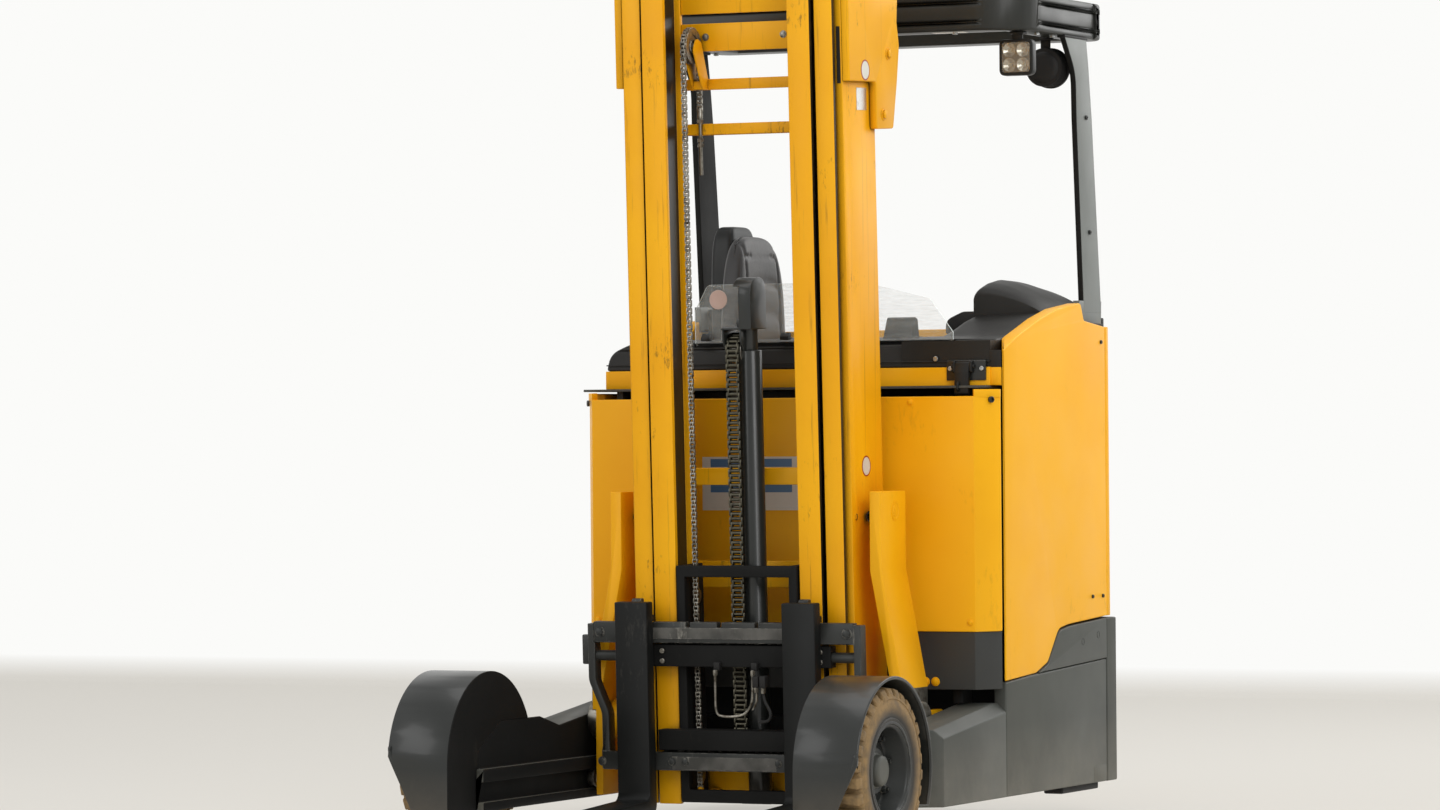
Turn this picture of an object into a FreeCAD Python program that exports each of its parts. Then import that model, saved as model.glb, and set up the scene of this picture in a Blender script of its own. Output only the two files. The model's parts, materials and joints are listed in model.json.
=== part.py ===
# Electric reach truck with large wheels and a three-stage mast, in millimetres.
# X points to the truck's left, the forks point along -Y, and Z is up from the floor.
# Chassis sizes along Y count from the load axle. Mast sizes count from the tilt pivot.
import FreeCAD, Part
import math
import os

import Sketcher
from FreeCAD import Placement, Rotation, Vector

# Driving dimensions, copied into the document's sheet under the same names.
# A text that starts with = is a formula, which seats a piece on the sizes that it names.
sizes = {
    # Wheels
    "wheelbase": 1450, "loadTyreRadius": 225, "loadTyreInner": "=armInner + 15", "loadTyreWidth": 153,
    "loadRimRadius": 128, "loadRimDish": 26, "loadAxleRadius": 25, "runningFit": 0.05,
    "tyreShoulder": 22, "driveTyreRadius": 171, "driveTyreWidth": 140, "driveRimRadius": 120,
    "driveAxleRadius": 22, "turretClear": 14, "turretPlate": 26, "turretRadius": 178, "motorRadius": 88,
    "motorHigh": 640,
    # Wheel arms and the reach track on their inner faces
    "armWidth": 132, "halfWidth": "=armInner + armWidth", "armInner": "=cheekInner + 66",
    "armPlate": 10, "armBottom": 98, "armFront": 420, "armFacet": 34, "armTopFront": 308,
    "armTopRear": 362, "armRear": "=batteryFront + 102", "plateDip": 338, "plateFront": -70,
    "trackBottom": 97, "trackTop": 212, "trackGrooveLow": 121, "trackGrooveHigh": 176, "trackDepth": 27,
    "trackFront": -90, "trackRear": "=batteryFront + 69",
    # Load wheel fenders
    "fenderRadius": "=loadTyreRadius + 27", "fenderSkin": 9,
    "fenderOuter": "=loadTyreInner + loadTyreWidth + 18", "fenderLow": 60, "fenderTailUp": 70,
    "fenderTaper": 96,
    # Chassis behind the mast
    "rearEnd": "=wheelbase + 308", "sillTopFront": 432, "sillTopRear": 456,
    "sillTopArm": 419, "sillSeam": "=bulkheadY - 55", "sillOuter": "=halfWidth + 2", "sillWall": 40,
    "bumperRound": 24, "bedTop": 432,
    "bedPlate": 24, "bulkheadWall": 20, "cabDepth": 305, "bulkheadY": "=wheelbase - cabDepth",
    "floorPlate": 12, "rearWall": 40, "rearCorner": 90, "bellyBottom": 110, "turretHole": 200,
    "motorHole": 130, "padLow": 76,
    # Battery
    "batteryDepth": 344, "batteryFront": "=bulkheadY - batteryDepth", "batteryHalf": "=halfWidth - 48",
    "batteryCornerX": 48, "batteryCornerY": 81, "coverWall": 30, "trayTop": 564, "coverTop": 1222,
    "batteryRear": "=bulkheadY - 25", "batteryGap": 6, "lidBottom": "=coverTop + 23",
    "lidTop": "=lidBottom + 7", "lidFront": "=batteryFront + 69", "deckTop": "=lidTop + 52",
    "deckFront": "=batteryFront + 98", "deckRight": "=halfWidth - 44",
    # Cab body
    "panelFront": "=batteryFront + 102", "panelRear": "=rearEnd - 82", "panelWall": 40,
    "panelFrontTop": 1352, "panelPeakY": "=panelRear - 188", "panelPeakZ": 1492, "panelRearTop": 1425,
    "panelLow": 423, "panelRearLow": 581, "panelGap": 6, "edgeFront": "=panelRear - 548",
    "entryDelay": 205, "entryRear": "=bulkheadY + 185", "entrySill": "=bedTop + 13", "sidePodTop": 960,
    "hoodFront": "=bulkheadY + 205", "hoodTop": 860, "deskTop": "=hoodTop + 220", "hoodLeft": 112,
    "consoleTop": "=deckTop + 91", "consoleRear": "=bulkheadY + 45", "humpTop": "=consoleTop + 161",
    "humpInner": "=halfWidth - 234", "humpFront": "=deckFront + 61", "humpRear": "=panelRear - 116",
    # Guard
    "postOuter": "=halfWidth - 24", "postWall": 17, "postDepthLow": 139, "postDepthHigh": 122,
    "postLow": 1464, "postFrontLow": "=panelRear - 103", "postFrontHigh": "=panelRear - 149",
    "roofBottom": 2265, "roofTop": "=roofBottom + 107", "roofFront": "=bulkheadY - 27",
    "roofRear": "=panelRear + 80", "roofHalf": "=postOuter", "roofCorner": 150, "roofRail": 95,
    "slatWidth": 34, "slatCount": 6,
    # Screen, lamps and seat
    "screenY": "=deckFront + 41", "screenWall": 6, "screenLeft": 475, "screenRight": -332,
    "screenTop": "=consoleTop + 155", "displayY": "=deckFront + 111", "displayTop": "=consoleTop + 75",
    "lampSide": 106, "lampDepth": 40, "lampX": "=postOuter - 54", "lampZ": "=roofBottom - 75",
    "lampY": "=roofFront + 82", "rearLampRadius": 59, "rearLampBack": 290, "seatFront": -40,
    "seatBack": -540, "seatNear": "=bulkheadY + 91", "seatFar": "=panelRear - 30", "seatTop": 1010,
    "seatCushion": 110, "backrestTop": 1705, "backrestDepth": 120, "steerWheelRadius": 110,
    "steerX": 210, "steerY": "=panelRear - 131", "pedalLength": 90, "pedalWidth": 70,
    # Mast tilt and reach carriage
    "mastTilt": 2.1, "pivotY": "=batteryFront - 162", "pivotZ": 317, "pivotPin": 30, "pivotDisc": 60,
    "pinClear": 0.3, "cheekInner": "=uprightInner + 63", "cheekWall": 34, "cheekPlate": 22,
    "cheekFront": "=pivotY - 84",
    "cheekRear": "=pivotY + 221", "cheekLow": 104, "cheekTop": "=pivotZ + 28",
    "uprightInner": "=outerFace + 46", "uprightFront": "=pivotY - 84", "uprightRear": "=pivotY + 91",
    "uprightTop": 960, "uprightBend": 740, "beamFront": "=cheekRear - 54", "beamRear": "=cheekRear + 4",
    "beamLow": 122, "beamHigh": 322,
    "trackRollerRadius": "=(trackGrooveHigh - trackGrooveLow) / 2 - 0.3", "tiltPinZ": 889,
    "tiltPinY": "=pivotY + 29", "tiltBarrel": 17, "tiltRod": 11, "tiltEyePin": 9, "tiltEyePlay": 3.4,
    "tiltReach": 100,
    # Mast rails: outer face, front face and depth of each stage
    "outerFace": 337, "outerFront": -76, "outerRear": "=midRear + 105", "outerWeb": 20, "outerLip": 67,
    "railGap": 8, "midFace": "=outerFace - 15", "midFront": "=innerFront + 12",
    "midRear": "=innerRear + 12", "midWeb": "=midFace - 23", "midLip": 72, "innerFace": "=midWeb - 41",
    "innerFront": -115, "innerRear": 24, "innerWeb": "=innerFace - 32", "innerLip": 62, "flange": 16,
    "web": 12, "innerOpening": "=innerFace - 68", "midRoller": 51.5, "mastLow": -228, "outerHigh": 2190,
    "midHigh": "=outerHigh + 38", "innerHigh": "=outerHigh + 50", "headWall": 23,
    "headLow": "=outerHigh - 541", "headRear": "=outerRear + 131", "barrelRadius": 32,
    "barrelX": "=outerFace - 65", "barrelY": "=outerRear - 43", "barrelHigh": "=outerHigh - 150",
    "liftRodRadius": 22, "rodClear": 0.3, "freeX": 23, "freeY": -45, "freeRadius": 32.5,
    "freeHigh": "=outerHigh / 2 - 55", "freeRodRadius": 22, "freeTop": "=freeHigh + 204",
    "pulleyDrop": 84, "chainX": -10, "chainWidth": 44, "chainThick": 15, "pulleyRadius": 45,
    "chainLow": -30, "anchorLow": "=freeHigh - 359", "anchorHigh": "=anchorLow + 47",
    # Carriage, side shift and forks
    "frameHalf": "=innerOpening - 5", "framePlate": 25, "frameLow": -222, "frameHigh": 442,
    "rollerRadius": "=(innerRear - innerFront) / 2 - flange - 0.3", "carriageWall": 18,
    "carriageFace": "=innerFront - 9", "upperFaceLow": 162, "upperFaceHigh": "=upperFaceLow + 61",
    "lowerFaceLow": -73, "lowerFaceHigh": -15, "keeperLow": -100, "housingFront": "=barFront + 6",
    "housingHalf": "=outerFace - 37", "lowerFaceHalf": "=frameHalf + 50", "shiftRest": -27,
    "barHalf": "=outerFace + 63", "barFront": "=carriageFace - 43", "barWall": 27,
    "upperBarLow": "=upperFaceHigh + 5", "upperBarHigh": "=upperBarLow + 59", "lowerBarLow": -129,
    "lowerBarHigh": "=lowerFaceLow - 5", "lowerBarHalf": "=barHalf - 19", "shiftRod": 15,
    "shiftRodZ": 190, "padGap": 0.3, "bracketWall": 22, "bracketReach": "=barHalf + 20",
    "bracketRear": "=carriageFace - 2", "bracketBend": 120, "bracketFoot": 30, "forkWidth": 100,
    "forkThick": 45, "forkLength": 1150, "forkTop": "=upperBarHigh + 57", "forkLow": -256,
    "forkTip": 12, "forkSpread": 257, "forkOffset": -6, "hookDepth": 8, "hookHeight": 18,
}



class Size:
    # A number that carries the sheet expression it comes from.
    def __init__(self, value, text):
        self.value = value
        self.text = text

    def __add__(self, other):
        other = asSize(other)
        return Size(self.value + other.value, f"({self.text} + {other.text})")

    def __sub__(self, other):
        other = asSize(other)
        return Size(self.value - other.value, f"({self.text} - {other.text})")

    def __mul__(self, other):
        other = asSize(other)
        return Size(self.value * other.value, f"({self.text} * {other.text})")

    def __truediv__(self, other):
        other = asSize(other)
        return Size(self.value / other.value, f"({self.text} / {other.text})")

    def __neg__(self):
        return Size(-self.value, f"(0 - {self.text})")

    def __radd__(self, other):
        return asSize(other) + self

    def __rsub__(self, other):
        return asSize(other) - self

    def __rmul__(self, other):
        return asSize(other) * self


def asSize(thing):
    return thing if isinstance(thing, Size) else Size(float(thing), f"({float(thing)})")


def sine(angle):
    return Size(math.sin(math.radians(angle.value)), f"sin({angle.text} * 1deg)")


def cosine(angle):
    return Size(math.cos(math.radians(angle.value)), f"cos({angle.text} * 1deg)")


class Sheet:
    # Gives each cell of the document's sheet as a Size, by its alias.
    def __init__(self, document):
        self.cells = document.addObject("Spreadsheet::Sheet", "Sizes")
        for row, name in enumerate(sizes, start=1):
            self.cells.set(f"A{row}", name)
            self.cells.setAlias(f"B{row}", name)
        for row, value in enumerate(sizes.values(), start=1):
            self.cells.set(f"B{row}", str(value))
        document.recompute()

    def __getattr__(self, name):
        return Size(float(self.cells.get(name)), f"Sizes.{name}")


doc = FreeCAD.newDocument("ReachTruck")
s = Sheet(doc)
nodes = []


def bind(piece, name, size):
    piece.setExpression(name, asSize(size).text)


def place(piece, x, y, z):
    bind(piece, ".Placement.Base.x", x)
    bind(piece, ".Placement.Base.y", y)
    bind(piece, ".Placement.Base.z", z)


def box(name, xs, ys, zs):
    # A block between low and high values on each axis.
    piece = doc.addObject("Part::Box", name)
    bind(piece, "Length", asSize(xs[1]) - xs[0])
    bind(piece, "Width", asSize(ys[1]) - ys[0])
    bind(piece, "Height", asSize(zs[1]) - zs[0])
    place(piece, xs[0], ys[0], zs[0])
    return piece


def rod(name, axis, centre, radius, low, high):
    # A cylinder along one axis. The centre gives the other two coordinates in X, Y, Z order.
    piece = doc.addObject("Part::Cylinder", name)
    bind(piece, "Radius", radius)
    bind(piece, "Height", asSize(high) - low)
    if axis == "X":
        piece.Placement = Placement(Vector(), Rotation(Vector(0, 1, 0), 90))
        place(piece, low, centre[0], centre[1])
    elif axis == "Y":
        piece.Placement = Placement(Vector(), Rotation(Vector(1, 0, 0), -90))
        place(piece, centre[0], low, centre[1])
    else:
        place(piece, centre[0], centre[1], low)
    return piece


def cut(name, base, *tools):
    piece = doc.addObject("Part::Cut", name)
    piece.Base = base
    piece.Tool = tools[0] if len(tools) == 1 else fuse(name + "Tools", *tools)
    return piece


def fuse(name, *pieces):
    piece = doc.addObject("Part::MultiFuse", name)
    piece.Shapes = list(pieces)
    return piece


def common(name, first, second):
    piece = doc.addObject("Part::Common", name)
    piece.Base = first
    piece.Tool = second
    return piece


def mirror(name, source):
    # The same piece on the other side of the truck.
    piece = doc.addObject("Part::Mirroring", name)
    piece.Source = source
    piece.Base = (0, 0, 0)
    piece.Normal = (1, 0, 0)
    return piece


def startSketch(body, plane):
    sketch = body.newObject("Sketcher::SketchObject", body.Name + "Sketch")
    support = [feature for feature in body.Origin.OriginFeatures if feature.Role == plane][0]
    sketch.AttachmentSupport = [(support, "")]
    sketch.MapMode = "FlatFace"
    return sketch


def pin(sketch, geometry, point, corner):
    # Holds one sketch point at a corner's two coordinates.
    for kind, size in (("DistanceX", corner[0]), ("DistanceY", corner[1])):
        size = asSize(size)
        index = sketch.addConstraint(Sketcher.Constraint(kind, -1, 1, geometry, point, size.value))
        sketch.setExpression(f"Constraints[{index}]", size.text)


def roundingOf(before, at, after, radius):
    # Start, middle and end of the arc that rounds a corner, and its centre.
    arms = [(before - at).normalize(), (after - at).normalize()]
    half = arms[0].getAngle(arms[1]) / 2
    reach = radius / math.tan(half)
    bisector = (arms[0] + arms[1]).normalize()
    centre = at + bisector * (radius / math.sin(half))
    return at + arms[0] * reach, centre - bisector * radius, at + arms[1] * reach, centre


def drawOutline(sketch, corners):
    # A closed outline. A corner is (across, up) or (across, up, radius of its rounding).
    count = len(corners)
    spots = [Vector(asSize(corner[0]).value, asSize(corner[1]).value, 0) for corner in corners]
    roundings = {}
    for i, corner in enumerate(corners):
        if len(corner) == 3:
            radius = asSize(corner[2]).value
            roundings[i] = roundingOf(spots[i - 1], spots[i], spots[(i + 1) % count], radius)
    lines = []
    for i in range(count):
        start = roundings[i][2] if i in roundings else spots[i]
        following = (i + 1) % count
        end = roundings[following][0] if following in roundings else spots[following]
        lines.append(sketch.addGeometry(Part.LineSegment(start, end)))
    for i, corner in enumerate(corners):
        if i not in roundings:
            sketch.addConstraint(Sketcher.Constraint("Coincident", lines[i - 1], 2, lines[i], 1))
            pin(sketch, lines[i], 1, corner)
            continue
        start, middle, end, centre = roundings[i]
        turn = (start - centre).cross(end - centre).z
        angles = [math.atan2((spot - centre).y, (spot - centre).x) for spot in (start, end)]
        if turn < 0:
            angles.reverse()
        circle = Part.Circle(centre, Vector(0, 0, 1), asSize(corner[2]).value)
        arc = sketch.addGeometry(Part.ArcOfCircle(circle, *angles))
        first, last = (1, 2) if turn > 0 else (2, 1)
        sketch.addConstraint(Sketcher.Constraint("Tangent", lines[i - 1], 2, arc, first))
        sketch.addConstraint(Sketcher.Constraint("Tangent", arc, last, lines[i], 1))
        index = sketch.addConstraint(Sketcher.Constraint("Radius", arc, asSize(corner[2]).value))
        sketch.setExpression(f"Constraints[{index}]", asSize(corner[2]).text)
        tip = sketch.addGeometry(Part.Point(spots[i]), True)
        sketch.addConstraint(Sketcher.Constraint("PointOnObject", tip, 1, lines[i - 1]))
        sketch.addConstraint(Sketcher.Constraint("PointOnObject", tip, 1, lines[i]))
        pin(sketch, tip, 1, corner)


def prism(name, plane, corners, low, high):
    # An outline on one of the origin planes, padded between two distances from that plane.
    body = doc.addObject("PartDesign::Body", name)
    sketch = startSketch(body, plane + "_Plane")
    drawOutline(sketch, corners)
    offset = -asSize(high) if plane == "XZ" else asSize(low)
    bind(sketch, ".AttachmentOffset.Base.z", offset)
    pad = body.newObject("PartDesign::Pad", name + "Pad")
    pad.Profile = sketch
    bind(pad, "Length", asSize(high) - low)
    return body


def turned(name, corners):
    # A ring or disc turned about X. A corner is (place along X, radius).
    body = doc.addObject("PartDesign::Body", name)
    sketch = startSketch(body, "XY_Plane")
    drawOutline(sketch, corners)
    feature = body.newObject("PartDesign::Revolution", name + "Turn")
    feature.Profile = sketch
    feature.ReferenceAxis = (sketch, ["H_Axis"])
    feature.Angle = 360
    return body


# Fork tip and truck centre: the whole truck is moved so that its box is centred on the origin.
tipY = s.barFront - s.forkThick - s.forkLength
tipWorldY = s.pivotY + tipY * cosine(s.mastTilt) - (s.forkLow + s.forkTip) * sine(s.mastTilt)
centreY = (s.rearEnd + tipWorldY) / 2


def addNode(label, group, *pieces):
    # Names a finished sub-part and puts it in the chassis, on an axle or on the tilted mast.
    compound = doc.addObject("Part::Compound", label + "Node")
    compound.Links = list(pieces)
    compound.Label = label
    if group == "mast":
        compound.Placement = Placement(Vector(), Rotation(Vector(1, 0, 0), s.mastTilt.value))
        bind(compound, ".Placement.Rotation.Angle", s.mastTilt)
        place(compound, 0, s.pivotY - centreY, s.pivotZ)
    elif group == "loadAxle":
        place(compound, 0, -centreY, s.loadTyreRadius)
    elif group == "driveAxle":
        place(compound, 0, s.wheelbase - centreY, s.driveTyreRadius)
    else:
        place(compound, 0, -centreY, 0)
    nodes.append(compound)


def addPair(label, group, piece):
    # A left piece and its mirror image on the right, as two solids of one sub-part.
    addNode(label, group, piece, mirror(label + "Mirror", piece))


def addSides(label, group, piece):
    # The same, as two sub-parts.
    addNode(label + "_left", group, piece)
    addNode(label + "_right", group, mirror(label + "Mirror", piece))


# ---- Wheels ----

def loadWheels():
    inner = s.loadTyreInner
    outer = inner + s.loadTyreWidth
    bore = s.loadAxleRadius + s.runningFit
    tyre = turned("LoadTyre", [
        (inner, s.loadRimRadius), (outer, s.loadRimRadius),
        (outer, s.loadTyreRadius, s.tyreShoulder), (inner, s.loadTyreRadius, s.tyreShoulder)])
    dish = outer - s.loadRimDish
    rim = turned("LoadRim", [
        (inner + 12, bore), (dish, bore), (dish, 62), (dish - 46, 84), (dish - 40, 112),
        (outer - 4, 118), (outer - 4, s.loadRimRadius), (inner + 4, s.loadRimRadius),
        (inner + 4, 112), (dish - 64, 104), (dish - 64, 70), (inner + 12, 60)])
    axle = fuse("LoadAxle",
        rod("LoadAxlePin", "X", (0, 0), s.loadAxleRadius, s.armInner + s.armPlate, dish - 3),
        rod("LoadAxleFlange", "X", (0, 0), 46, s.armInner + s.armPlate, inner + 4))
    cap = rod("LoadHubCap", "X", (0, 0), 58, dish, dish + 9)
    addSides("load_tyre", "loadAxle", tyre)
    addSides("load_rim", "loadAxle", fuse("LoadRimCap", rim, cap))
    addPair("load_axles", "loadAxle", axle)


def driveWheel():
    half = s.driveTyreWidth / 2
    bore = s.driveAxleRadius + s.runningFit
    tyre = turned("DriveTyre", [
        (-half, s.driveRimRadius), (half, s.driveRimRadius),
        (half, s.driveTyreRadius, 10), (-half, s.driveTyreRadius, 10)])
    rim = turned("DriveRim", [
        (-half + 6, bore), (half - 6, bore), (half - 6, 60), (half - 30, 80), (half - 24, s.driveRimRadius),
        (-half + 24, s.driveRimRadius), (-half + 30, 80), (-half + 6, 60)])
    headLow = s.driveTyreRadius + s.turretClear
    gearcase = prism("Gearcase", "YZ", [
        (-70, -60, 50), (70, -60, 50), (110, headLow + 5, 20), (-110, headLow + 5, 20)], half + 12, half + 72)
    axle = rod("DriveAxle", "X", (0, 0), s.driveAxleRadius, -half + 4, half + 12)
    head = rod("TurretHead", "Z", (0, 0), s.turretRadius, headLow, headLow + s.turretPlate)
    motor = rod("DriveMotor", "Z", (0, 0), s.motorRadius, headLow + s.turretPlate, s.motorHigh)
    addNode("drive_tyre", "driveAxle", tyre)
    addNode("drive_rim", "driveAxle", rim)
    addNode("drive_unit", "driveAxle", fuse("DriveUnit", gearcase, axle, head, motor))


# ---- Arms, fenders and chassis ----

def wheelArms():
    plateOuter = s.armInner + s.armPlate
    beam = prism("ArmBeam", "YZ", [
        (s.armFront, s.armBottom), (s.armRear, s.armBottom), (s.armRear, s.armTopRear),
        (s.trackRear, s.armTopRear), (s.armFront, s.armTopFront)], s.armInner, s.halfWidth)
    facet = prism("ArmFacet", "XY", [
        (s.halfWidth - s.armFacet * 2, s.armFront - 1), (s.halfWidth + 1, s.armFront - 1),
        (s.halfWidth + 1, s.armFront + s.armFacet)], s.armBottom - 1, s.armTopRear)
    front = s.plateFront
    plate = prism("ArmPlate", "YZ", [
        (front, s.armBottom), (s.armFront, s.armBottom), (s.armFront, s.armTopFront),
        (s.armFront - 118, s.plateDip), (60, s.plateDip), (front, s.loadTyreRadius + 40)], s.armInner,
        plateOuter)
    channel = cut("TrackChannel",
        box("TrackBar", (s.armInner - s.trackDepth, s.armInner), (s.trackFront, s.trackRear),
            (s.trackBottom, s.trackTop)),
        box("TrackGroove", (s.armInner - s.trackDepth - 1, s.armInner - 1),
        (s.trackFront - 1, s.trackRear + 1),
            (s.trackGrooveLow, s.trackGrooveHigh)))
    addPair("wheel_arms", "chassis", fuse("WheelArm", cut("ArmBeamCut", beam, facet), plate, channel))


def fenders():
    outer = s.fenderOuter
    inner = s.armInner + s.armPlate
    radius = s.fenderRadius
    hollow = radius - s.fenderSkin
    axleZ = s.loadTyreRadius
    tail = axleZ + s.fenderTailUp
    front = s.plateFront
    below = -s.fenderSkin - radius
    skin = cut("FenderSkin",
        fuse("FenderOutside",
            rod("FenderRound", "X", (0, axleZ), radius, inner, outer),
            box("FenderFront", (inner, outer), (-radius, 0), (s.fenderLow, axleZ))),
        rod("FenderHollow", "X", (0, axleZ), hollow, inner - 1, outer + 1),
        box("FenderHollowFront", (inner - 1, outer + 1), (-hollow, radius + 1), (below, axleZ)),
        box("FenderFoot", (inner - 1, outer + 1), (-radius - 1, radius + 1), (below, s.fenderLow)),
        box("FenderTail", (inner - 1, outer + 1), (0, radius + 1), (axleZ - 1, tail)),
        prism("FenderTaper", "XZ", [
            (outer + 1, axleZ + 30), (outer - s.fenderTaper, s.fenderLow - 1), (outer + 1, s.fenderLow - 1)],
            -radius - 1, -hollow + 1))
    side = cut("FenderSide",
        fuse("FenderSideOutside",
            rod("FenderSideRound", "X", (0, axleZ), radius, s.armInner, inner),
            box("FenderSideFront", (s.armInner, inner), (-radius, front), (s.fenderLow, axleZ))),
        box("FenderSideFoot", (s.armInner - 1, inner + 1), (-radius - 1, front), (below, s.fenderLow)),
        prism("FenderSideCut", "YZ", [
            (front, below), (radius + 1, below), (radius + 1, s.plateDip),
            (60, s.plateDip), (front, axleZ + 40)], s.armInner - 1, inner + 1))
    addPair("load_fenders", "chassis", fuse("LoadFender", skin, side))


def chassisFrame():
    inside = s.sillOuter - s.sillWall
    bedHalf = s.armInner + 28
    deckHeights = (s.bedTop - 14, s.bedTop - 2)
    bed = box("BatteryBed", (-bedHalf, bedHalf), (s.batteryFront + 3 + s.coverWall, s.bulkheadY),
        (s.bedTop - s.bedPlate, s.bedTop - 2))
    posts = [box("BedPost", xs, (s.batteryFront + 3 + s.coverWall, s.armRear),
        (s.armTopRear, s.bedTop - s.bedPlate))
        for xs in ((s.armInner, bedHalf), (-bedHalf, -s.armInner))]
    wall = box("Bulkhead", (-inside, inside), (s.bulkheadY - s.bulkheadWall, s.bulkheadY),
        (s.bellyBottom, s.bedTop - 2))
    floor = cut("Belly",
        box("BellyPlate", (-inside, inside), (s.bulkheadY, s.rearEnd - s.rearWall),
            (s.bellyBottom, s.bellyBottom + s.floorPlate)),
        rod("TurretOpening", "Z", (0, s.wheelbase), s.turretHole, s.bellyBottom - 1,
            s.bellyBottom + s.floorPlate + 1))
    deck = cut("TurretDeck",
        box("TurretDeckPlate", (-inside, inside), (s.bulkheadY, s.rearEnd - s.rearWall), deckHeights),
        rod("MotorOpening", "Z", (0, s.wheelbase), s.motorHole, s.bedTop - 15, s.bedTop))
    bearingLow = s.driveTyreRadius * 2 + s.turretClear + s.turretPlate + s.padGap
    bearing = cut("TurretBearing",
        rod("BearingRing", "Z", (0, s.wheelbase), s.turretRadius, bearingLow, s.bedTop - 14),
        rod("BearingBore", "Z", (0, s.wheelbase), s.motorHole, bearingLow - 1, s.bedTop))
    addNode("chassis_frame", "chassis", fuse("ChassisFrame", bed, wall, floor, deck, bearing, *posts))


def sillTopAt(y):
    # Height of the sloping seam on top of the side sill.
    slope = (s.sillTopRear - s.sillTopFront) / (s.rearEnd - s.rearCorner - s.sillSeam)
    return s.sillTopFront + slope * (y - s.sillSeam)


def panelEdge(delay, drop):
    # Wavy edge between the body panel above and the corner cover below, front to rear.
    return [
        (s.edgeFront + delay, sillTopAt(s.edgeFront + delay) + 3 - drop),
        (s.edgeFront + delay + 87, s.panelRearLow - 118 - drop, 40),
        (s.edgeFront + delay + 172, s.panelRearLow - 25 - drop, 60),
        (s.edgeFront + delay + 250, s.panelRearLow - 15 - drop)]


def cornerCover(name, delay):
    edge = panelEdge(delay, s.panelGap)[::-1]
    front = s.edgeFront + delay
    return prism(name, "YZ", [
        (front + 20, sillTopAt(front + 20) + 2), (s.rearEnd - s.rearCorner, s.sillTopRear + 2),
        (s.rearEnd - s.rearCorner, s.panelRearLow - s.panelGap), *edge[:-1]],
        s.sillOuter - s.sillWall, s.sillOuter)


def sills():
    outline = [
        (s.armRear, s.armBottom), (s.rearEnd - s.rearCorner, s.armBottom),
        (s.rearEnd - s.rearCorner, s.sillTopRear), (s.sillSeam, s.sillTopFront),
        (s.armRear, s.sillTopArm)]
    sill = prism("Sill", "YZ", outline, s.sillOuter - s.sillWall, s.sillOuter - 2)
    left = cornerCover("CornerLeft", 0)
    right = mirror("CornerRightMirror", cornerCover("CornerRight", s.entryDelay))
    rear = prism("RearWall", "XY", [
        (-s.sillOuter, s.rearEnd - s.rearCorner), (-s.sillOuter + s.sillWall, s.rearEnd - s.rearCorner),
        (-s.sillOuter + s.sillWall, s.rearEnd - s.rearWall), (s.sillOuter - s.sillWall,
        s.rearEnd - s.rearWall),
        (s.sillOuter - s.sillWall, s.rearEnd - s.rearCorner), (s.sillOuter, s.rearEnd - s.rearCorner),
        (s.sillOuter, s.rearEnd, s.bumperRound), (-s.sillOuter, s.rearEnd, s.bumperRound)],
        s.armBottom, s.panelRearLow - s.panelGap)
    pad = box("TipPad", (s.sillOuter - 90, s.sillOuter - 30), (s.rearEnd - 370, s.rearEnd - s.rearCorner),
        (s.padLow, s.armBottom))
    addPair("side_sills", "chassis", sill)
    addNode("corner_covers", "chassis", left, right)
    addPair("anti_tip_pads", "chassis", pad)
    addNode("rear_bumper", "chassis", rear)


# ---- Battery ----

def batteryPlan(front, half, wall):
    # Plan of a skin around the battery's front, with cut corners.
    x = half + s.batteryCornerX
    y = front + s.batteryCornerY
    return [
        (-half, front), (half, front), (x, y), (x - wall, y), (half - wall * 0.3, front + wall),
        (-half + wall * 0.3, front + wall), (-x + wall, y), (-x, y)]


def battery():
    cover = prism("BatteryCover", "XY",
        batteryPlan(s.batteryFront, s.batteryHalf, s.coverWall),
        s.trayTop, s.coverTop)
    tray = prism("BatteryTray", "XY",
        batteryPlan(s.batteryFront + 3, s.batteryHalf - 3, s.coverWall),
        s.bedTop - 30, s.trayTop)
    x = s.batteryHalf - 20
    block = box("Battery", (-x, x), (s.batteryFront + s.coverWall + s.batteryGap, s.batteryRear),
        (s.bedTop - 2, s.coverTop - 30))
    lid = box("BatteryLid", (-s.halfWidth - 14, s.halfWidth - s.panelWall), (s.lidFront, s.batteryRear + 20),
        (s.lidBottom, s.lidTop))
    strutX = (s.batteryHalf - 46, s.batteryHalf - 26)
    strut = box("LidStrut", strutX, (s.lidFront + 40, s.batteryRear), (s.coverTop - 30, s.lidBottom))
    struts = [strut, mirror("LidStrutMirror", strut)]
    addNode("battery_cover", "chassis", cover)
    addNode("battery_tray", "chassis", tray)
    addNode("battery", "chassis", block)
    addNode("battery_lid", "chassis", fuse("BatteryLidStruts", lid, *struts))


# ---- Cab body ----

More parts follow.
